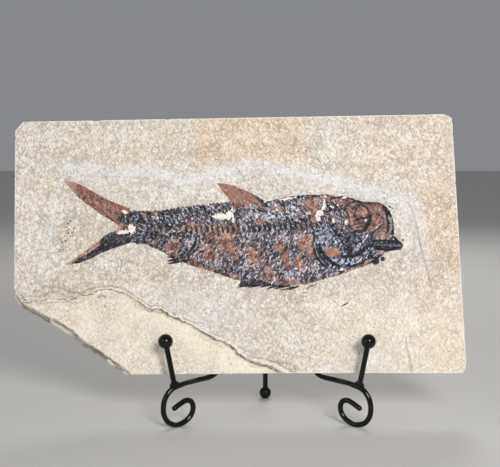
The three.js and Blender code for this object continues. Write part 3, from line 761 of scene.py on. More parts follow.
def tail_fin(x, y, settings):
    """Height and colour masks of the forked tail."""
    fine = rough(x, y, 1.1, 211, 2)
    upper = depth_inside(x, y, UPPER_LOBE) + 0.5 + 0.22 * rough(x, y, 3, 212, 2) + 0.1 * fine
    lower = depth_inside(x, y, LOWER_LOBE) + 0.3 + 0.25 * rough(x, y, 2.4, 213, 2) + 0.1 * fine
    d = np.maximum(upper, lower)
    is_upper = upper > lower
    t1, ray1 = rays_along(x, y, (-78, 106), (-122, 132), 1.25, 214)
    t2, ray2 = rays_along(x, y, (-76, 94), (-120, 74), 1.2, 215)
    number, slope, gap = flakes(x, y, 2.2, 1.0, math.radians(28), 216)
    strip = y - np.interp(x, [-122, -117.7, -106.5, -101.3, -97], [73.4, 75.2, 80.2, 84, 86.8])
    strip = smooth(-0.3, 0.4, strip + 0.2 * fine) * smooth(-96.4, -97.4, x)
    crust_low = (1 - strip) * smooth(-117.5, -112, x + 1.5 * fine)
    mottle = smooth(0.0, 0.4, rough(x, y, 1.7, 217, 2)) * smooth(-116, -110, x) * smooth(4.4, 2.4, upper)
    root = smooth(-88, -82.5, x + 1.8 * rough(x, y, 3, 218)) * smooth(113, 104, y)
    crust = np.where(is_upper, 0, crust_low)
    crust = np.maximum(crust, root * smooth(92, 96, y) * smooth(112.5, 110, y))
    web = smooth(0.0, 0.3, oval(x, y, -83.6, 99.4, 7.4, 3.6, 0.3) + 0.4 * fine)
    crust = crust * (1 - web) + 0.2 * web
    bare = smooth(0.0, 0.2, np.maximum(oval(x, y, -75.2, 98.2, 3, 3.8, 0.2), np.maximum(
        oval(x, y, -80.7, 96.2, 5, 1.5, 0.12), oval(x, y, -80, 110.2, 2.3, 1.2, -0.5))) + 0.3 * fine)
    height = np.where(is_upper, 0.42 + 0.10 * ray1 + 0.07 * fine - 0.15 * t1,
                      0.62 + 0.05 * ray2 - 0.2 * t2 + crust * (0.30 * (number - 0.4) + 0.25 * slope))
    height -= 0.3 * web + 0.18 * strip * (~is_upper)
    height = height * (1 - bare) + 0.15 * bare
    rise = smooth(-0.1, 0.7, d)
    height = sunk_rim(height, rise)
    peach = np.maximum(smooth(0.75, 0.15, d) * 0.8, smooth(-112, -119, x + fine))
    peach = np.maximum(peach, 0.75 * smooth(-0.3, 0.5, oval(x, y, -86, 98.6, 4.5, 3, 0.3)))
    rust = np.where(is_upper, 0.34 + 0.25 * smooth(-0.2, 0.8, rough(x, y, 4, 219, 2)) - 0.85 * mottle, 0.75)
    # A little painted glint on the lower lobe's crust
    glint = crust * 0.10
    # Painted shade in the gaps between the lower lobe's flakes
    return d, height, {
        "crust": crust * (1 - bare), "glint": glint * (1 - bare), "bare": bare,
        "deep": np.where(is_upper, 0.35 * smooth(0.1, 0.9, -ray1), 0.6 * smooth(0.2, 0.02, gap) * crust),
        "rust": rust, "peach": np.where(crust > 0.5, 0, peach), "calm": np.where(is_upper, 0.35, 0.45),
        "cool": np.full(x.shape, 0.8),
    }


def back_fin(x, y, settings):
    """Height and colour masks of the fin on the fish's back."""
    fine = rough(x, y, 1.1, 231, 2)
    d = depth_inside(x, y, BACK_FIN) + 0.7 + 0.2 * rough(x, y, 2.6, 232, 2) + 0.1 * fine
    t, ray = rays_along(x, y, (14, 115.5), (-16, 130.3), 1.35, 233)
    lead, lead_at = along(x, y, [(0.5, 127), (7, 123.6), (15.3, 118.4)])
    crust = 0.9 * smooth(0.9, 0.3, lead - 1.6 * smooth(0.55, 0.95, lead_at) + 0.3 * fine)
    crust *= smooth(0.0, 0.35, lead_at)
    crust = np.maximum(crust, 0.8 * smooth(0.2, 0.6, ripple(x, y, 2, 234)) * smooth(118, 116.4, y))
    height = 0.5 + 0.11 * ray + 0.05 * fine - 0.15 * t + 0.3 * crust
    rise = smooth(-0.1, 0.6, d)
    height = sunk_rim(height, rise)
    # The crust on the fin's leading edge gets a little painted glint
    return d, height, {
        "crust": crust, "glint": 0.2 * crust, "bare": np.zeros_like(x),
        "deep": 0.35 * smooth(0.2, 0.9, -ray), "rust": 0.56 + 0.36 * ray,
        "peach": 0.7 * smooth(0.6, 0.15, d), "calm": np.full(x.shape, 0.45), "cool": np.zeros_like(x),
    }


# ---------------------------------------------------------------------------
# Mesh tools
# ---------------------------------------------------------------------------


def new_piece(name, vertices, faces, material, masks=None, sharp=False):
    """A mesh object. vertices is an array of points in metres, masks a dict of one value for each."""
    mesh = bpy.data.meshes.new(name)
    mesh.from_pydata(np.asarray(vertices).tolist(), [], faces)
    for key, values in (masks or {}).items():
        layer = mesh.attributes.new(key, "FLOAT", "POINT")
        layer.data.foreach_set("value", np.clip(values, 0, 1).astype(np.float32).ravel())
    mesh.validate()
    mesh.update()
    if not sharp:
        mesh.shade_smooth()
    mesh.materials.append(material)
    piece = bpy.data.objects.new(name, mesh)
    bpy.context.scene.collection.objects.link(piece)
    return piece


def slab_place():
    """The slab's own plane in the frame."""
    low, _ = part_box("limestone_slab")
    origin = Vector((low.x - LEFT_TOP[0] * MM, low.y,
                     low.z + SLAB_THICKNESS * MM * math.sin(SLAB_LEAN)))
    return Matrix.Translation(origin) @ Matrix.Rotation(math.pi / 2 - SLAB_LEAN, 4, "X")


def flood(reach, allowed):
    """Everything that the first cells reach through the allowed ones."""
    while True:
        grown = reach.copy()
        for cells, free in ((grown, allowed), (grown.T, allowed.T)):
            for k in range(1, len(cells)):
                cells[k] |= cells[k - 1] & free[k]
            for k in range(len(cells) - 2, -1, -1):
                cells[k] |= cells[k + 1] & free[k]
        if (grown == reach).all():
            return reach
        reach = grown


def solid_cells(keep):
    """The patch of cells round its middle, with its holes filled and no cells that meet only at a corner."""
    keep = np.pad(keep, 1)
    outside = np.zeros_like(keep)
    outside[0, :] = outside[-1, :] = outside[:, 0] = outside[:, -1] = True
    keep = ~flood(outside, ~keep)
    rows, columns = np.nonzero(keep)
    k = np.argmin((rows - rows.mean()) ** 2 + (columns - columns.mean()) ** 2)
    middle = np.zeros_like(keep)
    middle[rows[k], columns[k]] = True
    keep = flood(middle, keep)
    while True:
        a, b, c, d = keep[:-1, :-1], keep[:-1, 1:], keep[1:, :-1], keep[1:, 1:]
        corner = (a & d & ~b & ~c) | (~a & ~d & b & c)
        if not corner.any():
            return keep[1:-1, 1:-1]
        rows, columns = np.nonzero(corner)
        keep[rows, columns] = True
        keep[rows, columns + 1] = True


def relief_piece(name, shape, x_range, y_range, cell, keep, settings, stone, material):
    """A closed piece of the fossil: its relief on top, its rim sunk into the stone, a plain underside."""
    xs = np.arange(x_range[0], x_range[1] + cell, cell)
    ys = np.arange(y_range[0], y_range[1] + cell, cell)
    x, y = np.meshgrid(xs, ys)
    d, height, masks = shape(x, y, settings)
    base, _ = stone_face(x, y, stone)
    points_in = keep(x, y, d)
    cells = solid_cells(points_in[:-1, :-1] & points_in[1:, :-1] & points_in[:-1, 1:] & points_in[1:, 1:])
    rows, columns = np.nonzero(cells)
    wide = x.shape[1]
    corner = rows * wide + columns
    quads = np.stack([corner, corner + 1, corner + wide + 1, corner + wide], 1)
    used = np.unique(quads)
    new_index = np.full(x.size, -1)
    new_index[used] = np.arange(len(used))
    quads = new_index[quads]
    step = {}
    directed = np.concatenate([quads[:, [k, (k + 1) % 4]] for k in range(4)])
    present = set(map(tuple, directed.tolist()))
    for a, b in present:
        if (b, a) not in present:
            step[b] = a
    loop = [next(iter(sorted(step)))]
    while step[loop[-1]] != loop[0]:
        loop.append(step[loop[-1]])
    z = (height + base).ravel()[used]
    top = np.stack([x.ravel()[used], y.ravel()[used], z], 1)
    under = np.stack([top[loop, 0], top[loop, 1], base.ravel()[used][loop] - 0.7], 1)
    first, count = len(top), len(loop)
    skirt = [(loop[k], loop[(k + 1) % count], first + (k + 1) % count, first + k) for k in range(count)]
    vertices = np.concatenate([top, under]) * MM
    faces = quads.tolist() + skirt + [tuple(range(first, first + count))]
    masks = {k: np.concatenate([v.ravel()[used], v.ravel()[used][loop]]) for k, v in masks.items()}
    piece = new_piece(name, vertices, faces, material, masks)
    piece.matrix_world = slab_place()
    return piece


def tube(rings, sides):
    """A closed bar through rings, each a centre, a radius and two directions: vertices and faces."""
    turn = np.linspace(0, 2 * math.pi, sides, endpoint=False)[:, None]
    vertices = []
    for centre, radius, one, other in rings:
        vertices.append(centre + radius * (np.cos(turn) * one + np.sin(turn) * other))
    faces = []
    for near in range(0, (len(rings) - 1) * sides, sides):
        far = near + sides
        for m in range(sides):
            n = (m + 1) % sides
            faces.append((near + m, near + n, far + n, far + m))
    faces.append(tuple(range(sides))[::-1])
    faces.append(tuple(range((len(rings) - 1) * sides, len(rings) * sides)))
    return np.concatenate(vertices), faces


def sweep(points, radii, sides):
    """A round bar along the points, with domed ends: vertices and faces."""
    p = np.asarray(points, float)
    radii = np.broadcast_to(radii, len(p)).astype(float)
    tangent = np.gradient(p, axis=0)
    tangent /= np.linalg.norm(tangent, axis=1)[:, None]
    normal = np.cross(tangent[0], [0.3, 0.2, 1.0])
    normal /= np.linalg.norm(normal)
    rings = []
    for k in range(len(p)):
        normal = normal - tangent[k] * np.dot(normal, tangent[k])
        normal /= np.linalg.norm(normal)
        rings.append((p[k], radii[k], normal, np.cross(tangent[k], normal)))
    head, tail = [], []
    for angle in DOME_ANGLES:
        out, thin = math.sin(angle), math.cos(angle)
        head.append((p[0] - tangent[0] * radii[0] * 0.9 * out, radii[0] * thin, *rings[0][2:]))
        tail.append((p[-1] + tangent[-1] * radii[-1] * 0.9 * out, radii[-1] * thin, *rings[-1][2:]))
    return tube(head + rings + tail[::-1], sides)


def join(parts):
    """Several sets of vertices and faces as one."""
    vertices, faces, start = [], [], 0
    for v, f in parts:
        vertices.append(v)
        faces += [tuple(i + start for i in face) for face in f]
        start += len(v)
    return np.concatenate(vertices), faces


# ---------------------------------------------------------------------------
# Materials
# ---------------------------------------------------------------------------


class Value:
    """A node's output, which can be added, subtracted and multiplied like a number."""

    def __init__(self, nodes, socket):
        self.nodes = nodes
        self.socket = socket

    def __add__(self, other):
        return self.nodes.math("ADD", self, other)

    def __sub__(self, other):
        return self.nodes.math("SUBTRACT", self, other)

    def __rsub__(self, other):
        return self.nodes.math("SUBTRACT", other, self)

    def __mul__(self, other):
        return self.nodes.math("MULTIPLY", self, other)

    def __abs__(self):
        return self.nodes.math("ABSOLUTE", self, 0.0)

    def eased(self, low, high, to_low=0.0, to_high=1.0):
        """A smooth step from to_low, where the value is low, to to_high, where it is high."""
        inputs = {"Value": self, "From Min": low, "From Max": high, "To Min": to_low, "To Max": to_high}
        node = self.nodes.add("ShaderNodeMapRange", inputs, interpolation_type="SMOOTHSTEP")
        return self.nodes.value(node, "Result")


class Nodes:
    """Makes the nodes of one material or group."""

    def __init__(self, tree, place):
        self.tree = tree
        self.place = place

    def feed(self, socket, value):
        """Give a socket a number or a colour, or link it to another node's output."""
        value = getattr(value, "socket", value)
        if isinstance(value, bpy.types.NodeSocket):
            self.tree.links.new(value, socket)
        elif socket.type == "RGBA" and len(value) == 3:
            socket.default_value = (*value, 1)
        else:
            socket.default_value = value

    def add(self, kind, inputs=None, **settings):
        """A new node, with its settings and its inputs."""
        node = self.tree.nodes.new(kind)
        for key, value in settings.items():
            setattr(node, key, value)
        for key, value in (inputs or {}).items():
            self.feed(node.inputs[key], value)
        return node

    def value(self, node, output=0):
        """One output of a node."""
        return Value(self, node.outputs[output])

    def math(self, way, first, second, clamp=False):
        """The result of one sum."""
        return self.value(self.add("ShaderNodeMath", {0: first, 1: second}, operation=way, use_clamp=clamp))

    def blend(self, factor, first, second, way="MIX"):
        """The colour between two, or first changed by second in another way."""
        inputs = {0: factor, 6: first, 7: second}
        return self.value(self.add("ShaderNodeMix", inputs, data_type="RGBA", blend_type=way), 2)

    def mask(self, name):
        """One of the masks that the piece's vertices hold."""
        return self.value(self.add("ShaderNodeAttribute", attribute_name=name), "Fac")

    def noise(self, scale, detail=2.0, roughness=0.5, offset=0.0, place=None):
        """Noise of this scale; the offset makes each one different."""
        moved = self.add("ShaderNodeVectorMath", {0: place or self.place, 1: (offset, offset * 0.7, -offset)},
                         operation="ADD")
        inputs = {"Vector": moved.outputs[0], "Scale": scale, "Detail": detail, "Roughness": roughness}
        return self.value(self.add("ShaderNodeTexNoise", inputs), "Fac")

    def ramp(self, value, stops):
        """The colour for a value, between the colours of the stops on each side of it."""
        node = self.add("ShaderNodeValToRGB", {"Fac": value})
        elements = node.color_ramp.elements
        elements[0].position, elements[1].position = stops[0][0], stops[-1][0]
        elements[0].color, elements[1].color = (*stops[0][1], 1), (*stops[-1][1], 1)
        for at, colour in stops[1:-1]:
            elements.new(at).color = (*colour, 1)
        return self.value(node, "Color")

    def group(self, group, inputs):
        """A shared node group, used at the material's own place."""
        return self.add("ShaderNodeGroup", {"Vector": self.place, **inputs}, node_tree=group)

    def dusted(self, colour, dust_colour, amount):
        """The colour under a little dust, and how much of it there is."""
        inputs = {"Color": colour, "Dust Color": dust_colour, "Amount": amount}
        node = self.group(dust_group(), inputs)
        return self.value(node, "Color"), self.value(node, "Mask")

    def finish(self, shader, colour, roughness, specular, height, distance, strength):
        """Colour, roughness and bump into the material's shader."""
        bump = self.add("ShaderNodeBump", {"Height": height, "Distance": distance, "Strength": strength})
        self.feed(shader.inputs["Base Color"], colour)
        self.feed(shader.inputs["Roughness"], roughness)
        self.feed(shader.inputs["Normal"], bump.outputs["Normal"])
        shader.inputs["Specular IOR Level"].default_value = specular


def new_group(name, inputs, outputs):
    """A node group with its named sockets, its maker, and the nodes at its two ends."""
    group = bpy.data.node_groups.new(name, "ShaderNodeTree")
    for key, kind, value in inputs:
        socket = group.interface.new_socket(name=key, in_out="INPUT", socket_type="NodeSocket" + kind)
        if value is not None:
            socket.default_value = value
    for key, kind in outputs:
        group.interface.new_socket(name=key, in_out="OUTPUT", socket_type="NodeSocket" + kind)
    enter = group.nodes.new("NodeGroupInput")
    leave = group.nodes.new("NodeGroupOutput")
    return group, Nodes(group, enter.outputs["Vector"]), enter, leave


def grain_group():
    """Fine grain with short streaks across each other: a value for colour and a height for bump."""
    name = "Fine Grain"
    if name in bpy.data.node_groups:
        return bpy.data.node_groups[name]
    group, nodes, enter, leave = new_group(
        name, (("Vector", "Vector", None), ("Scale", "Float", 700.0), ("Contrast", "Float", 1.0),
               ("Streaks", "Float", 0.0)), (("Shade", "Float"), ("Height", "Float")))
    scale = nodes.value(enter, "Scale")
    both = nodes.noise(scale, 3.0, 0.65) * 0.66 + nodes.noise(scale * 0.45, 2.0, 0.5, 0.31) * 0.34
    for angle, offset in ((62, 0.13), (-54, 0.47)):
        turned = nodes.add("ShaderNodeVectorRotate", {"Vector": nodes.place, "Angle": math.radians(-angle)},
                           rotation_type="Z_AXIS")
        squeeze = {0: turned.outputs[0], 1: (0.3, 1, 1)}
        drawn = nodes.add("ShaderNodeVectorMath", squeeze, operation="MULTIPLY")
        streak = nodes.noise(scale, 1.0, 0.5, offset, drawn.outputs[0])
        both += (streak - 0.5) * nodes.value(enter, "Streaks")
    strong = (both - 0.5) * nodes.value(enter, "Contrast")
    nodes.feed(leave.inputs["Shade"], nodes.math("ADD", strong, 0.5, True))
    nodes.feed(leave.inputs["Height"], both)
    return group


def dust_group():
    """Dust that gathers on what faces up and in patches: the dusted colour and its mask."""
    name = "Settled Dust"
    if name in bpy.data.node_groups:
        return bpy.data.node_groups[name]
    group, nodes, enter, leave = new_group(
        name, (("Vector", "Vector", None), ("Color", "Color", (0.5, 0.5, 0.5, 1)),
               ("Dust Color", "Color", (0.4, 0.38, 0.35, 1)), ("Amount", "Float", 0.2)),
        (("Color", "Color"), ("Mask", "Float")))
    normal = nodes.add("ShaderNodeNewGeometry").outputs["Normal"]
    upward = nodes.value(nodes.add("ShaderNodeSeparateXYZ", {0: normal}), "Z").eased(0.1, 0.95)
    patches = nodes.noise(260.0, 3.0, 0.6, 0.11).eased(0.42, 0.66)
    specks = nodes.noise(1500.0, 1.0, 0.5, 0.23).eased(0.6, 0.72)
    amount = nodes.math("MULTIPLY", upward * patches + specks * 0.25, nodes.value(enter, "Amount"), True)
    dusted = nodes.blend(amount, nodes.value(enter, "Color"), nodes.value(enter, "Dust Color"))
    nodes.feed(leave.inputs["Color"], dusted)
    nodes.feed(leave.inputs["Mask"], amount)
    return group


def new_material(name):
    """A material, the maker of its nodes, and its shader."""
    material = bpy.data.materials.new(name)
    material.use_nodes = True
    tree = material.node_tree
    place = tree.nodes.new("ShaderNodeTexCoord").outputs["Object"]
    return material, Nodes(tree, place), tree.nodes["Principled BSDF"]


def limestone_material(settings):
    """Cream limestone: fine grain, iron stains, pale scratched zones, dark cracks, painted shade along its
    layers' edges and on its broken faces, and patches painted lighter or darker for light and shade.
    """
    material, nodes, shader = new_material("Limestone")
    noise, mask, blend = nodes.noise, nodes.mask, nodes.blend
    grain = nodes.group(grain_group(), {"Scale": 1350.0, "Contrast": 1.15, "Streaks": 0.5})
    shade = nodes.value(grain, "Shade")
    tone = (shade - 0.5) * 2.05 + noise(300.0, offset=0.43) * 0.30 + noise(105.0, offset=0.71) * 0.42
    tone += noise(30.0) * 0.40
    tone += (noise(560.0, 3.0, 0.7, 0.57) - 0.5) * mask("worked") * 1.5

    # A net of fine seams, here and there
    bend = nodes.add("ShaderNodeTexNoise", {"Vector": nodes.place, "Scale": 260.0, "Detail": 2.0})
    bent = nodes.add("ShaderNodeVectorMath", {0: bend.outputs["Color"], 1: (0.0032, 0.0032, 0.0032),
                                              2: nodes.place}, operation="MULTIPLY_ADD")
    net = nodes.add("ShaderNodeTexVoronoi", {"Vector": bent.outputs[0], "Scale": 235.0},
                    feature="DISTANCE_TO_EDGE")
    seams = nodes.value(net, "Distance").eased(0.14, 0.0) * noise(85.0, offset=0.33).eased(0.38, 0.60)
    colour = nodes.ramp(tone - seams * 0.38 - 0.06, [
        (0.0, tuple(settings.dark_colour)), (0.28, (0.58, 0.525, 0.455)), (0.5, tuple(settings.light_colour)),
        (0.72, (0.85, 0.80, 0.735)), (1.0, (0.97, 0.95, 0.92))])

    # Pinkish and bluish grains, golden blotches, a warm tint painted lighter towards the lower right, iron
    # stains painted darker towards the top right, and the pale prepared zone
    hue = noise(820.0, 2.0, 0.7, 0.83)
    colour = blend(hue.eased(0.46, 0.66, 0.0, 0.8), colour, (1.0, 0.945, 0.925), "MULTIPLY")
    colour = blend(hue.eased(0.54, 0.36, 0.0, 0.8), colour, (0.94, 0.965, 1.0), "MULTIPLY")
    golden = noise(62.0, 3.0, 0.6, 0.7).eased(0.46, 0.70)
    colour = blend(golden * 0.40, colour, (0.93, 0.83, 0.68), "MULTIPLY")
    # Warm golden tint under the flaked layer, with painted light towards the lower right
    colour = blend(mask("warm") * 0.62, colour, (0.99, 0.905, 0.74))
    # Iron stains, with painted shade towards the top right corner
    stain = mask("stain") * noise(640.0, 3.0, 0.7, 0.5).eased(0.38, 0.62, 0.15, 1.15)
    colour = blend(stain * 1.1, colour, tuple(settings.stain_colour), "MULTIPLY")
    colour = blend(mask("lumps") * 0.62, colour, (0.46, 0.38, 0.29))
    pale = mask("pale") * noise(420.0, 2.0, 0.6, 0.9).eased(0.35, 0.62, 0.3, 1.0)
    colour = blend(pale * 0.8, colour, (0.80, 0.825, 0.885))
    specks = noise(700.0, 0.0, 0.5, 0.37).eased(0.74, 0.80)
    colour = blend(specks * 0.6, colour, (0.22, 0.15, 0.10))
    # Dark cracks and bands, with painted shade along the edges where the face steps down
    colour = blend(mask("crevice") * 0.85, colour, (0.20, 0.145, 0.09))

    # Lines along the flaked layer's edge: painted shadow under it, a second, fainter painted shade line along
    # a thin layer, and its pale lip
    cliff = mask("cliff") * (2 * CLIFF_REACH) - CLIFF_REACH + (noise(420.0, offset=0.61) - 0.5)
    sharp = noise(90.0, offset=0.19).eased(0.40, 0.56, 0.35, 1.0)
    colour = blend(abs(cliff - 0.15).eased(0.62, 0.22) * sharp, colour, (0.19, 0.145, 0.085))
    second = abs(cliff + 1.75).eased(0.36, 0.10) * noise(70.0, offset=0.91).eased(0.46, 0.54)
    colour = blend(second * 0.75, colour, (0.36, 0.27, 0.18))
    colour = blend(abs(cliff + 0.8).eased(0.6, 0.25) * sharp * 0.5, colour, (0.93, 0.90, 0.86))
    # The broken corner's faces are painted dark brown: painted shade, as they face down and away from the
    # light
    broken = mask("broken") * noise(190.0, 3.0, 0.6, 0.2).eased(0.40, 0.60, 0.15, 1.0)
    colour = blend(broken, colour, (0.17, 0.13, 0.10))
    colour = blend(mask("chipped"), colour, (0.95, 0.93, 0.89))
    colour, _ = nodes.dusted(colour, (0.85, 0.82, 0.76), 0.35)
    roughness = shade.eased(0.0, 1.0, 0.95, 0.78)
    nodes.finish(shader, colour, roughness, 0.25, nodes.value(grain, "Height"), 0.0007, 0.8)
    return material


def fossil_material(settings):
    """Glossy black crust over red-brown bone, in flakes that follow the ribs, with bare stone between,
    painted glints on the crust and painted shade in its gaps.
    """
    material, nodes, shader = new_material("Fossil Bone")
    noise, mask, blend = nodes.noise, nodes.mask, nodes.blend
    grain = nodes.group(grain_group(), {"Scale": 1450.0, "Contrast": 3.8, "Streaks": 0.3})
    shade = nodes.value(grain, "Shade") - 0.5

    # Flakes that lean back from the backbone, each with its own numbers and with painted shade darkening it
    # towards its rim
    split = nodes.add("ShaderNodeSeparateXYZ", {0: nodes.place})
    up = nodes.value(split, "Y") - BACKBONE[3][1] * MM
    warp = (noise(300.0, offset=0.17) - 0.5) * 0.005
    across = nodes.value(split, "X") + abs(up) * 0.55 + warp
    drawn = nodes.add("ShaderNodeCombineXYZ", {0: across, 1: up * 0.40})
    cells = nodes.add("ShaderNodeTexVoronoi", {"Vector": drawn.outputs[0], "Scale": 1220.0},
                      voronoi_dimensions="2D")
    numbers = nodes.add("ShaderNodeSeparateXYZ", {0: cells.outputs["Color"]})
    first, second = (nodes.value(numbers, key) - 0.5 for key in ("X", "Y"))
    rim = nodes.value(cells, "Distance").eased(0.30, 0.62)
    calm = 1.0 - mask("calm") * 0.8
    tone = (first * 0.78 + shade * 0.88 - rim * 0.25) * calm

    # The crust's tones from black through slate, with painted glints at the bright end
    black = nodes.ramp(tone + (mask("glint") * 0.75 + (calm * 0.26 + 0.11)), [
        (0.0, tuple(settings.crust_colour)), (0.30, (0.032, 0.029, 0.034)), (0.50, (0.115, 0.105, 0.125)),
        (0.70, tuple(settings.slate_and_painted_glint_colour)), (0.88, (0.70, 0.68, 0.76)), (1.0, (0.97, 0.93, 0.95))])
    black = blend(mask("cool"), black, (0.93, 1.03, 1.10), "MULTIPLY")
    bone = nodes.ramp(tone * 0.8 + (mask("rust") * 0.5 + 0.30), [
        (0.0, (0.055, 0.022, 0.020)), (0.25, tuple(settings.maroon_colour)),
        (0.55, tuple(settings.rust_colour)), (0.80, (0.52, 0.31, 0.23)), (1.0, (0.78, 0.62, 0.52))])
    bone = blend(mask("peach") * 0.7, bone, (0.64, 0.42, 0.29))
    crusted = (mask("crust") + (second * 0.62 + shade * 0.35)).eased(0.44, 0.54)
    colour = blend(crusted, bone, black)
    hue = nodes.value(numbers, "Z") * 0.6 + noise(330.0, 2.0, 0.6, 0.27) * 0.8
    colour = blend(hue.eased(0.72, 0.95), colour, (0.83, 0.96, 1.12), "MULTIPLY")
    colour = blend(hue.eased(0.64, 0.42), colour, (1.08, 0.93, 0.84), "MULTIPLY")
    colour = blend(1.0, colour, (0.93, 0.93, 0.93), "MULTIPLY")
    # Dark gaps and joints, with painted shade between flakes and beside bones
    colour = blend(mask("deep") * 0.85, colour, (0.006, 0.005, 0.006))
    cream = blend(shade.eased(-0.4, 0.3), (0.74, 0.66, 0.60), (0.96, 0.91, 0.88))
    bare = (mask("bare") + shade * 0.5).eased(0.4, 0.6)
    colour, _ = nodes.dusted(blend(bare, colour, cream), (0.62, 0.57, 0.50), 0.08)
    bone_gloss, crust_gloss, bare_gloss = ((value,) * 3 for value in (0.55, 0.27, 0.85))
    roughness = blend(bare, blend(crusted, bone_gloss, crust_gloss), bare_gloss) + shade * 0.16
    nodes.finish(shader, colour, roughness, 0.22, nodes.value(grain, "Height") + first * 0.6, 0.0003, 0.6)
    return material


def paint_material(settings):
    """Black paint on steel, with a little orange peel and dust."""
    material, nodes, shader = new_material("Black Paint")
    grain = nodes.group(grain_group(), {"Scale": 420.0})
    shade = nodes.value(grain, "Shade")
    colour = nodes.blend(shade, tuple(settings.paint_colour), (0.003, 0.0034, 0.004))
    worn = nodes.value(nodes.add("ShaderNodeNewGeometry"), "Pointiness").eased(0.535, 0.60)
    rubbed = worn * nodes.noise(500.0, 3.0, 0.6, 0.4).eased(0.5, 0.62)
    colour = nodes.blend(rubbed * 0.5, colour, (0.09, 0.085, 0.08))
    colour, dust = nodes.dusted(colour, (0.20, 0.19, 0.17), 0.015)
    roughness = nodes.math("ADD", shade.eased(0.0, 1.0, 0.09, 0.17), dust * 1.2, True)
    nodes.finish(shader, colour, roughness, 0.31, nodes.value(grain, "Height"), 0.0004, 0.12)
    return material


def shared_material(name, make, settings):
    """The material of this name, made when it is first asked for."""
    return bpy.data.materials.get(name) or make(settings)


# ---------------------------------------------------------------------------
# Pieces
# ---------------------------------------------------------------------------


def rim_spread(count, rim):
    """Places from 0 to 1 across the slab, close together along both rims."""
    t = np.linspace(0, 1, count + 1)
    t[1], t[-2] = rim, 1 - rim
    t[2], t[-3] = 3 * rim, 1 - 3 * rim
    t[3:-3] = np.linspace(6.5 * rim, 1 - 6.5 * rim, count - 5)
    return t


def break_foot(x):
    """How far the foot of the broken corner lies from its upper edge, in x and y."""
    edge = [p[0] for p in BREAK_EDGE]
    return [np.interp(x, edge, [foot[k] for foot in BREAK_FOOT]) for k in (0, 1)]


def slab_front(settings):
    """The face as a grid: x, y, height, masks, distance to the rim, nearness to the break, bottom edge."""
    wide, high = SLAB_SIZE
    u, v = np.meshgrid(rim_spread(SLAB_CELLS[0], 0.0013), rim_spread(SLAB_CELLS[1], 0.0022))
    bottom_x = LEFT_BREAK[0] + u * (RIGHT_BOTTOM[0] - LEFT_BREAK[0])
    top_x = LEFT_TOP[0] + u * (RIGHT_TOP[0] - LEFT_TOP[0])
    corner = [(148.5 + 4 * t, 8 * (1 - math.sqrt(1 - t * t))) for t in np.linspace(0, 1, 9)[1:]]
    bottom_y = np.interp(bottom_x, *np.array(BREAK_EDGE + [(148.5, 0)] + corner).T)
    top_y = np.interp(top_x, *np.array(TOP_LINE).T)
    x = bottom_x * (1 - v) + top_x * v
    y = bottom_y * (1 - v) + top_y * v

    # The sawn edges stand a little proud of the nominal outline
    y += 1.4 * smooth(0.8, 1.0, v) - 0.9 * smooth(0.12, 0, v) * smooth(-82, -72, x) * smooth(45, -60, x)
    x -= 0.8 * smooth(0.12, 0, u)

    # The rim isn't quite straight, and the break is ragged
    to_break = np.clip(1 - (y - bottom_y) / 9.0, 0, 1) * smooth(-66, -76, x)
    bite = 0.75 * rough(x, y * 0.2, 7.5, 301, 3) + 0.25 * rough(x, y, 2.0, 302, 2)
    x -= to_break * 0.35 * bite
    y -= to_break * (0.75 * bite + 0.25) * smooth(-154, -151.5, x)
    rim = np.minimum(np.minimum(u * wide, (1 - u) * wide), np.minimum(v * high, (1 - v) * high))
    saw = smooth(1.6, 0.0, rim) * (1 - to_break)
    nick = smooth(0.25, 1.0, rough(x, y, 5, 303, 3))
    for line, share, length in ((x, u, wide), (y, v, high)):
        edge = smooth(1.2, 0, np.minimum(share, 1 - share) * length)
        line += saw * np.where(share < 0.5, 1, -1) * edge * (0.05 + 0.35 * nick)
    height, masks = stone_face(x, y, settings)
    height -= smooth(1.1, 0.0, rim) * (0.28 + 0.5 * nick * (1 - to_break))
    bruise = 0.95 * smooth(1.1, 0.4, rim) * (0.6 + 0.4 * nick) * (1 - to_break)
    masks["chipped"] = np.maximum(masks["chipped"], bruise)
    masks["broken"] = np.zeros_like(x)
    return x, y, height, masks, rim, to_break, bottom_y


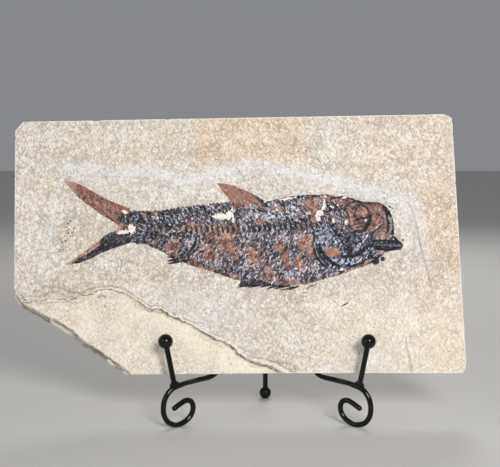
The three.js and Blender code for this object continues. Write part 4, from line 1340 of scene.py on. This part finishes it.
def slab_sides(x, y, height, to_break, ring, mask_names):
    """Rings of the rim down the sides, in ledges along the broken corner, and their masks."""
    rx, ry, rz, on_break = (a[ring[:, 0], ring[:, 1]] for a in (x, y, height, to_break))
    on_break = on_break * (ring[:, 0] == 0)
    foot_x, foot_y = break_foot(rx)
    outward = np.stack([np.gradient(ry), -np.gradient(rx)], 1)
    outward /= np.linalg.norm(outward, axis=1)[:, None] + 1e-9
    place = np.cumsum(np.hypot(np.gradient(rx), np.gradient(ry)))
    pale_spots = np.clip(
        smooth(-130, -127.5, rx) * smooth(-112.5, -115.5, rx) + smooth(-149.5, -151, rx)
        + smooth(-90, -88.5, rx) * smooth(-83, -85, rx) + smooth(-78, -76, rx), 0, 1)
    level = np.zeros_like(rx)
    vertices, masks = [], {key: [] for key in mask_names}
    for depth in SIDE_DEPTHS:
        share = depth / SLAB_THICKNESS
        layer = int(np.searchsorted(LAYER_DEPTHS, depth))
        ledge = 0.55 * rough(place, level + 7.1 * layer, 9, 310 + layer, 3)
        slope = share ** 0.8
        white = on_break * (depth > LAYER_DEPTHS[1]) * pale_spots
        slope = slope + white * max(0, 0.85 - slope)
        broken = on_break * (slope + 0.10 * ledge * np.sin(math.pi * min(1, share * 1.15)))
        saw_marks = 0.10 * np.sin(place * 1.9 + 0.25 * depth)
        saw_marks = saw_marks + 0.12 * rough(place, level + depth * 1.7, 2.6, 320, 2)
        inward = (1 - on_break) * (0.14 + np.abs(saw_marks) * smooth(0, 1, depth)
                                   + 0.5 * smooth(10.8, 12.0, depth))
        inward += on_break * 0.25 * np.abs(ledge) * (1 - share)
        px = rx + broken * foot_x - outward[:, 0] * inward
        py = ry + broken * foot_y - outward[:, 1] * inward
        pz = np.where(depth < LAYER_DEPTHS[0], rz - 0.98 * depth, -depth)
        vertices.append(np.stack([px, py, pz], 1))
        stripe = 0.5 + 0.5 * rough(place * 0.3, level + depth * 2.3, 3, 330, 2)
        layer_masks = {
            # On the break, painted shade in stripes along the layers, except on the pale chips
            "broken": on_break * (1 - white) * (0.55 + 0.45 * stripe),
            "chipped": np.maximum(0.9 * white, 0.25 * (1 - on_break) * (depth < 1)),
            "stain": 0.15 + 0.5 * (1 - on_break) * smooth(0.4, 0.9, stripe),
            "crevice": 0.35 * (1 - on_break) * smooth(0.75, 1.1, stripe),
            "warm": 0.4, "cliff": 1.0,
        }
        for key, values in masks.items():
            values.append(level + layer_masks.get(key, 0.0))
    return vertices, masks


def slab_back(x, y, rim, to_break, bottom_y, inside):
    """The rough split face behind, at the given places of the face's grid, and its masks."""
    bx, by = x[inside], y[inside]
    pull = to_break[inside] * np.clip(1 - (by - bottom_y[inside]) / 14, 0, 1)
    bx += pull * break_foot(bx)[0]
    by += pull * break_foot(bx)[1]
    inner = smooth(0, 6, np.minimum(rim[inside], 20))
    terraces = rough(bx, by, 55, 351, 2)
    drop = 0.35 * smooth(0.1, 0.16, terraces) + 0.3 * smooth(-0.35, -0.3, terraces)
    grain = rough(bx, by, 6, 352, 3)
    bz = -SLAB_THICKNESS + inner * (0.75 - drop + 0.10 * grain) * 0.9
    saw_lines = 0.5 + 0.5 * np.sin(0.9 * (by + 0.0012 * (bx - 40) ** 2) + 0.6 * ripple(bx, by, 30, 353))
    bz += inner * 0.05 * saw_lines
    return np.stack([bx, by, bz], 1), {
        "stain": 0.3 + 0.4 * smooth(-0.2, 0.9, rough(bx, by, 40, 354, 2)),
        "pale": 0.25 * saw_lines,
        # Painted shade along the terraces' steps
        "crevice": 0.3 * np.exp(-((terraces - 0.13) / 0.02) ** 2),
        "lumps": 0.3 * smooth(0.2, 0.9, -grain),
        "worked": 0.4, "cliff": 1.0,
        "warm": 0.5 * smooth(-0.4, 0.6, rough(bx, by, 45, 355, 2)),
    }


def slab_faces(ring, rows, columns, back_index):
    """Faces over the front, down the sides, and across the back on every other place of the grid."""
    index = np.arange(rows * columns).reshape(rows, columns)
    corners = [index[:-1, :-1], index[:-1, 1:], index[1:, 1:], index[1:, :-1]]
    faces = np.stack(corners, -1).reshape(-1, 4).tolist()
    upper = index[ring[:, 0], ring[:, 1]]
    for n in range(len(SIDE_DEPTHS)):
        lower = index.size + n * len(ring) + np.arange(len(ring))
        faces += np.stack([np.roll(upper, -1), upper, lower, np.roll(lower, -1)], 1).tolist()
        upper = lower
    tour = [(0, 0), (1, 0), (2, 0), (2, 1), (2, 2), (1, 2), (0, 2), (0, 1)]
    for j in range(0, rows - 1, 2):
        for i in range(0, columns - 1, 2):
            spots = [(j + a, i + b) for a, b in tour]
            faces.append([back_index[spot] for spot in spots if spot in back_index])
    return faces


class FOSSIL_OT_slab(Operator):
    """Make the limestone slab with its sawn edges, its broken corner and its flaked layer"""

    bl_idname = "fossil.slab"
    bl_label = "Limestone Slab"

    def execute(self, context):
        settings = context.scene.fossil_stone
        x, y, height, masks, rim, to_break, bottom_y = slab_front(settings)
        rows, columns = x.shape
        ring = np.array([(0, i) for i in range(columns)] + [(j, columns - 1) for j in range(1, rows)]
                        + [(rows - 1, i) for i in range(columns - 2, -1, -1)]
                        + [(j, 0) for j in range(rows - 2, 0, -1)])
        sides, side_masks = slab_sides(x, y, height, to_break, ring, masks)
        inside = [(j, i) for j in range(2, rows - 1, 2) for i in range(2, columns - 1, 2)]
        back, back_masks = slab_back(x, y, rim, to_break, bottom_y, tuple(np.array(inside).T))
        first_behind = x.size + len(ring) * len(SIDE_DEPTHS)
        back_index = {tuple(spot): first_behind - len(ring) + k for k, spot in enumerate(ring.tolist())}
        back_index.update({spot: first_behind + k for k, spot in enumerate(inside)})
        faces = slab_faces(ring, rows, columns, back_index)
        vertices = np.concatenate([np.stack([x, y, height], -1).reshape(-1, 3), *sides, back]) * MM
        for key, front in masks.items():
            behind = np.broadcast_to(back_masks.get(key, 0.0), len(back))
            masks[key] = np.concatenate([front.ravel(), *side_masks[key], behind])
        material = shared_material("Limestone", limestone_material, settings)
        piece = new_piece("stone_slab", vertices, faces, material, masks)
        piece.matrix_world = slab_place()
        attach(piece, "root")
        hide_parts("limestone_slab")
        return {"FINISHED"}


def seam(y):
    """Where the head's piece meets the trunk's."""
    return np.interp(y, [55, 75, 92, 101, 108, 125], [60, 55, 48, 50, 56, 60])


class FOSSIL_OT_fish(Operator):
    """Make the fish: trunk, head, tail and the fin on its back, in relief on the stone"""

    bl_idname = "fossil.fish"
    bl_label = "Fossil Fish"

    def execute(self, context):
        settings, stone = context.scene.fossil_bone, context.scene.fossil_stone
        material = shared_material("Fossil Bone", fossil_material, settings)
        cell = settings.cell / MM

        def trunk_shape(x, y, s):
            """The body, lower where the head's piece lies over it."""
            d, height, masks = fish_body(x, y, s)
            return d, height - 0.5 * smooth(0.3, 1.0, x - seam(y)), masks

        parts = [
            ("fish_trunk", trunk_shape, (-85, 62), (56, 125), cell,
             lambda x, y, d: (d > -RIM_REACH) & (x < seam(y) + 1.3)),
            ("fish_head", fish_body, (46, 113), (60, 125), cell * 0.85,
             lambda x, y, d: (d > -RIM_REACH) & (x > seam(y))),
            ("fish_tail", tail_fin, (-124, -73), (72, 134), cell * 1.1,
             lambda x, y, d: (d > -RIM_REACH) & (x < -76.5)),
            ("fish_back_fin", back_fin, (-18, 18), (110, 132), cell * 1.1,
             lambda x, y, d: (d > -RIM_REACH)),
        ]
        for name, shape, x_range, y_range, size, keep in parts:
            piece = relief_piece(name, shape, x_range, y_range, size, keep, settings, stone, material)
            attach(piece, "root")
            if name == "fish_trunk":
                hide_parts("fossil_fish")
        return {"FINISHED"}


# Loose bones, scales and specks by the fish: points, half width, height
LOOSE_BONES = [
    ([(15, 60.8), (9, 60.2), (3, 59.6), (-2, 58.1)], 1.5, 0.7),
    ([(11, 62.2), (6, 61.6), (1, 60.6), (-1.6, 59.4)], 1.4, 0.7),
    ([(8, 63), (4, 62.6), (0.8, 61.8), (-0.8, 60.9)], 1.0, 0.55),
    ([(20, 60.8), (14, 60.2), (9, 59.2), (5, 58.2)], 1.2, 0.6),
    ([(24, 60), (20, 59.8), (16, 59), (13, 57.9)], 0.85, 0.5),
    ([(28, 59.6), (24.4, 58.9), (20.5, 58), (17.6, 56.9)], 0.8, 0.5),
    ([(33, 59.2), (29.4, 58.6), (25, 57.7), (22.4, 56.8)], 0.75, 0.45),
    ([(36, 58.4), (33, 57.6), (29.6, 56.7), (26.2, 56.3)], 0.6, 0.45),
    ([(39, 59), (36.4, 57.8), (33.4, 56.8), (31.4, 56.2)], 0.65, 0.4),
    ([(49, 59.8), (46.6, 58.2), (44, 56.6)], 0.32, 0.3),
    ([(51.8, 60.6), (49.8, 59.4), (47.6, 58)], 0.3, 0.3),
    ([(-36, 77.4), (-40.5, 76.6), (-45, 75.4), (-50.2, 74.3)], 1.3, 0.6),
    ([(-37, 79.6), (-42, 78.4), (-46, 77.2), (-50, 76.1)], 1.4, 0.6),
    ([(-39, 80.8), (-43, 80), (-46.6, 79.2), (-50.8, 79)], 1.1, 0.5),
    ([(71.4, 46.6), (70, 46), (68.4, 45)], 0.5, 0.25),
    ([(71, 46.2), (72.4, 47.4), (73.6, 47.2)], 0.45, 0.25),
    ([(111.6, 91.6), (111.5, 90)], 0.4, 0.3),
    ([(102, 114.6), (104, 113.2)], 0.4, 0.35),
    ([(45, 153.8), (45.6, 153)], 0.5, 0.2), ([(52.6, 147.8), (53.2, 147.3)], 0.45, 0.2),
    ([(-92.6, 45.9), (-92.2, 44.9)], 0.4, 0.2), ([(-118.2, 103.4), (-117.2, 104.4)], 0.5, 0.25),
    ([(-119.6, 102.6), (-118.9, 101.8)], 0.45, 0.2), ([(-120.4, 100.3), (-119.9, 99.3)], 0.5, 0.25),
    ([(-119.9, 97.8), (-119.6, 96.9)], 0.45, 0.2), ([(-119.4, 95.7), (-118.3, 95.3)], 0.5, 0.25),
    ([(-116.6, 95.2), (-115.9, 95.9)], 0.5, 0.25), ([(-115.4, 96.8), (-114.9, 96)], 0.4, 0.2),
    ([(-117.7, 93.9), (-116.9, 93.4)], 0.5, 0.25), ([(-115.8, 93.9), (-115.1, 93.5)], 0.4, 0.2),
    ([(-121.1, 90.5), (-120.3, 89.9)], 0.45, 0.2), ([(-123.3, 89.5), (-122.5, 89.1)], 0.4, 0.2),
    ([(-124, 84.5), (-123.2, 83.9)], 0.45, 0.2), ([(-122.2, 84.2), (-121.6, 83.8)], 0.4, 0.2),
    ([(-125.3, 83.3), (-124.5, 82.8)], 0.4, 0.2), ([(-115.1, 99.3), (-114.5, 98.7)], 0.35, 0.2),
    ([(-118.9, 99), (-118.5, 98.2)], 0.35, 0.15), ([(104.6, 113.4), (105.2, 112.6)], 0.35, 0.2),
]


class FOSSIL_OT_loose_bones(Operator):
    """Make the loose spines under the belly and the specks of bone in the stone"""

    bl_idname = "fossil.loose_bones"
    bl_label = "Loose Bones"

    def execute(self, context):
        settings, stone = context.scene.fossil_bone, context.scene.fossil_stone
        parts, masks = [], {}
        for n, (points, half, tall) in enumerate(LOOSE_BONES):
            line = rounded(points, 6)
            t = np.linspace(0, 1, len(line))
            spine = 1.0 if len(points) > 2 else 0.0
            if spine:
                width = half * np.sqrt(np.clip(1 - (0.15 + 0.85 * t) ** 2.2, 0.02, 1))
            else:
                width = 1.25 * half * np.sqrt(np.clip(1 - (2 * t - 1) ** 2, 0.05, 1))
            wave = 0.12 * ripple(line[:, 0], line[:, 1], 1.5, 401 + n)
            path = np.stack([line[:, 0] + wave, line[:, 1] - wave, 0 * t], 1)
            v, f = sweep(path, width, 10)
            base, _ = stone_face(v[:, 0], v[:, 1], stone)
            v[:, 2] = v[:, 2] * tall / half + base + 0.12 + 0.05 * rough(v[:, 0], v[:, 1], 0.9, 431, 2)
            parts.append((v, f))
            # A painted glint along each spine
            painted_bone_glint = 0.3 * smooth(0.3, 0.8, ripple(v[:, 0], v[:, 1], 1.2, 433)) * spine
            looks = {
                "crust": 0.74 + 0.26 * spine, "glint": painted_bone_glint, "bare": 0, "deep": 0, "rust": 0.4, "peach": 0,
                "calm": 0.6, "cool": 0.5,
            }
            for key, value in looks.items():
                masks.setdefault(key, []).append(np.broadcast_to(value, len(v)))
        vertices, faces = join(parts)
        material = shared_material("Fossil Bone", fossil_material, settings)
        piece = new_piece("loose_bones", vertices * MM, faces, material,
                          {k: np.concatenate(v) for k, v in masks.items()})
        piece.matrix_world = slab_place()
        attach(piece, "root")
        return {"FINISHED"}


def easel_shift():
    """From the middle of the scroll feet to the frame's origin, in millimetres."""
    left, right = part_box("left_frame_wire")[0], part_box("right_frame_wire")[1]
    low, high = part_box("rear_ball_foot")
    return np.array([(left.x + right.x) / 2 / MM, (low.y + high.y) / 2 / MM - REAR_FOOT_Y, 0.0])


def behind_slab(z, distance):
    """How far back a point at this height lies, at a distance behind the slab's back."""
    edge_y = FRONT_EDGE[0] + SLAB_THICKNESS * math.cos(SLAB_LEAN)
    edge_z = FRONT_EDGE[1] - SLAB_THICKNESS * math.sin(SLAB_LEAN)
    return edge_y + (z - edge_z) * math.tan(SLAB_LEAN) + distance / math.cos(SLAB_LEAN)


WIRE_OFF_BACK = WIRE_RADIUS + 0.4
APEX_Y = behind_slab(APEX_HEIGHT, WIRE_OFF_BACK)


def bent_line(points, steps):
    """The bend that a wire takes through the points, with no kinks where they lie close."""
    p = [np.asarray(q, float) for q in points]
    p = [2 * p[0] - p[1]] + p + [2 * p[-1] - p[-2]]
    spans = len(p) - 3
    out = []
    for n in range(steps + 1):
        at = n / steps * spans
        k = min(int(at), spans - 1)
        t = at - k
        a, b, c, d = p[k:k + 4]
        d0, d1, d2 = (max(np.linalg.norm(q - r), 1e-4) ** 0.5 for q, r in ((a, b), (b, c), (c, d)))
        m1 = ((b - a) / d0 - (c - a) / (d0 + d1) + (c - b) / d1) * d1
        m2 = ((c - b) / d1 - (d - b) / (d1 + d2) + (d - c) / d2) * d1
        out.append(b + m1 * t + (3 * c - 3 * b - 2 * m1 - m2) * t ** 2 + (2 * b - 2 * c + m1 + m2) * t ** 3)
    return np.array(out)


def wire_points(side):
    """Points of one frame wire: its scroll, its shelf under the slab, and its upright to the apex."""
    cos, sin = math.cos(SCROLL_TURN), math.sin(SCROLL_TURN)
    points = [(side * (SCROLL_X + out * cos), -out * sin, height) for out, height in SCROLL_LINE]
    heel = (30, behind_slab(46, WIRE_OFF_BACK), 46)
    apex = (WIRE_RADIUS + TOUCH_GAP, APEX_Y, APEX_HEIGHT)
    third = [a + (b - a) * 0.3 for a, b in zip(heel, apex)]
    for x, y, z in ((46.8, 13, SHELF_HEIGHT), (38, 23.3, SHELF_HEIGHT), (34.4, 27.4, SHELF_HEIGHT + 2),
                    (32.4, 28.9, SHELF_HEIGHT + 8), heel, third, apex):
        points.append((side * x, y, z))
    return points


def bead(centre, axis, long, radius, seed):
    """A weld bead: a lumpy drop along an axis."""
    axis = np.asarray(axis, float) / np.linalg.norm(axis)
    t = np.linspace(-0.92, 0.92, 13)
    path = np.asarray(centre, float) + t[:, None] * long * axis
    radii = radius * np.sqrt(1 - t ** 2) * (1 + 0.06 * np.sin(9 * t + seed))
    return sweep(path, radii, 16)


def ball_on_wire(wire_from, ball_at, wire_radius, ball_radius):
    """A straight wire that ends in a ball with a small fillet where they meet."""
    a, b = np.asarray(wire_from, float), np.asarray(ball_at, float)
    long = np.linalg.norm(b - a)
    axis = (b - a) / long
    profile = [(s, wire_radius) for s in np.linspace(0, long - ball_radius * 1.25, 14)]
    neck = math.asin(min(1, (wire_radius + 0.5) / ball_radius))
    profile.append((long - ball_radius * math.cos(neck) - 0.45, wire_radius + 0.12))
    profile.append((long - ball_radius * math.cos(neck) - 0.12, wire_radius + 0.3))
    for turn in np.linspace(neck, math.radians(176), 26):
        profile.append((long - ball_radius * math.cos(turn), ball_radius * math.sin(turn)))
    normal = np.cross(axis, [0.2, 1.0, 0.1])
    normal /= np.linalg.norm(normal)
    other = np.cross(axis, normal)
    return tube([(a + axis * s, radius, normal, other) for s, radius in profile], BALL_SIDES)


class FOSSIL_OT_easel(Operator):
    """Make the wire easel: scroll feet, shelf, back frame, ball-tipped prongs and rear leg"""

    bl_idname = "fossil.easel"
    bl_label = "Wire Easel"

    def execute(self, context):
        settings = context.scene.fossil_easel
        material = shared_material("Black Paint", paint_material, settings)
        shift = easel_shift()
        radius = settings.wire_radius / MM

        def finish(name, geometry, *nodes):
            """Make one piece of the easel, with flats worn where it meets the table."""
            vertices, faces = geometry
            vertices = vertices + shift
            vertices[:, 2] = np.maximum(vertices[:, 2], 0.0)
            piece = new_piece(name, vertices * MM, faces, material)
            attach(piece, "root")
            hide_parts(*nodes)

        for word, side in (("left", -1), ("right", 1)):
            mirror = np.array([side, 1, 1])
            line = bent_line(wire_points(side), WIRE_STEPS)
            wire = sweep(line[1:], radius, WIRE_SIDES)
            weld = bead(mirror * WELD_PLACE, mirror * WELD_AXIS, 3.0, 2.15, 1.0)
            finish(f"{word}_scroll_wire", join([wire, weld]), f"{word}_frame_wire")
            hook = ball_on_wire(mirror * PRONG_FOOT, mirror * PRONG_TIP, radius, settings.ball_radius / MM)
            finish(f"{word}_hook", hook, f"{word}_prong", f"{word}_ball_tip")
        rear = ball_on_wire((0, APEX_Y + 3.0, APEX_HEIGHT - 1.4), (0, REAR_FOOT_Y, REAR_BALL_RADIUS - 0.2),
                            radius, REAR_BALL_RADIUS)
        weld = bead((0, APEX_Y + 1.2, APEX_HEIGHT - 3), (0, 0.05, 1), 4.4, 2.6, 2.0)
        finish("rear_stay", join([rear, weld]), "rear_leg", "rear_ball_foot")
        return {"FINISHED"}


class FOSSIL_OT_stage(Operator):
    """Make the floor, the soft lights and the camera"""

    bl_idname = "fossil.stage"
    bl_label = "Stage"

    def execute(self, context):
        settings = context.scene.fossil_stage
        scene = context.scene
        scene.view_settings.view_transform = "Standard"
        floor_mesh = bpy.data.meshes.new("floor")
        shape = bmesh.new()
        bmesh.ops.create_grid(shape, x_segments=24, y_segments=24, size=4.0)
        shape.to_mesh(floor_mesh)
        shape.free()
        material, nodes, shader = new_material("Floor")
        pale = tuple(settings.floor_colour)
        mottle = nodes.noise(3.0, 3.0, 0.6) * 0.25
        nodes.feed(shader.inputs["Base Color"], nodes.blend(mottle, pale, tuple(c * 0.93 for c in pale)))
        shader.inputs["Roughness"].default_value = 0.7
        floor_mesh.materials.append(material)
        floor = bpy.data.objects.new("floor", floor_mesh)
        scene.collection.objects.link(floor)

        world = bpy.data.worlds.new("Studio")
        world.use_nodes = True
        sky = world.node_tree.nodes["Background"]
        sky.inputs["Color"].default_value = SKY_COLOUR
        sky.inputs["Strength"].default_value = SKY_STRENGTH
        scene.world = world
        for word, place, size, tint in LIGHTS:
            lamp = bpy.data.lights.new(f"{word}_light", "AREA")
            lamp.shape = "DISK"
            lamp.size = size
            lamp.energy = getattr(settings, f"{word}_power")
            lamp.color = tint
            holder = bpy.data.objects.new(lamp.name, lamp)
            holder.location = place
            to_target = Vector(LIGHT_TARGET) - Vector(place)
            holder.rotation_euler = to_target.to_track_quat("-Z", "Y").to_euler()
            scene.collection.objects.link(holder)

        camera = bpy.data.cameras.new("camera")
        camera.lens = settings.lens
        camera.sensor_width = 36.0
        camera.clip_start = 0.01
        holder = bpy.data.objects.new("camera", camera)
        holder.location = CAMERA_PLACE
        holder.rotation_euler = (CAMERA_TILT, 0, 0)
        scene.collection.objects.link(holder)
        scene.camera = holder
        return {"FINISHED"}


class FOSSIL_PT_panel(Panel):
    """Lists the pieces and their settings"""

    bl_idname = "FOSSIL_PT_panel"
    bl_label = "Fossil Fish Slab"
    bl_space_type = "VIEW_3D"
    bl_region_type = "UI"
    bl_category = "Fossil"

    def draw(self, context):
        scene = context.scene
        for operator, settings in ((FOSSIL_OT_slab, scene.fossil_stone), (FOSSIL_OT_fish, scene.fossil_bone),
                                   (FOSSIL_OT_loose_bones, None), (FOSSIL_OT_easel, scene.fossil_easel),
                                   (FOSSIL_OT_stage, scene.fossil_stage)):
            box = self.layout.box()
            box.operator(operator.bl_idname)
            if settings is not None:
                for key in settings.__annotations__:
                    box.prop(settings, key)


CLASSES = (
    StoneSettings, FossilSettings, EaselSettings, StageSettings, FOSSIL_OT_slab, FOSSIL_OT_fish,
    FOSSIL_OT_loose_bones, FOSSIL_OT_easel, FOSSIL_OT_stage, FOSSIL_PT_panel,
)
SETTINGS = {
    "fossil_stone": StoneSettings, "fossil_bone": FossilSettings, "fossil_easel": EaselSettings,
    "fossil_stage": StageSettings,
}


def register():
    for cls in CLASSES:
        bpy.utils.register_class(cls)
    for name, cls in SETTINGS.items():
        setattr(bpy.types.Scene, name, PointerProperty(type=cls))


def unregister():
    for name in SETTINGS:
        delattr(bpy.types.Scene, name)
    for cls in reversed(CLASSES):
        bpy.utils.unregister_class(cls)


def main():
    register()
    bpy.ops.fossil.stage()
    bpy.ops.fossil.slab()
    bpy.ops.fossil.fish()
    bpy.ops.fossil.loose_bones()
    bpy.ops.fossil.easel()


if __name__ == "__main__":
    main()
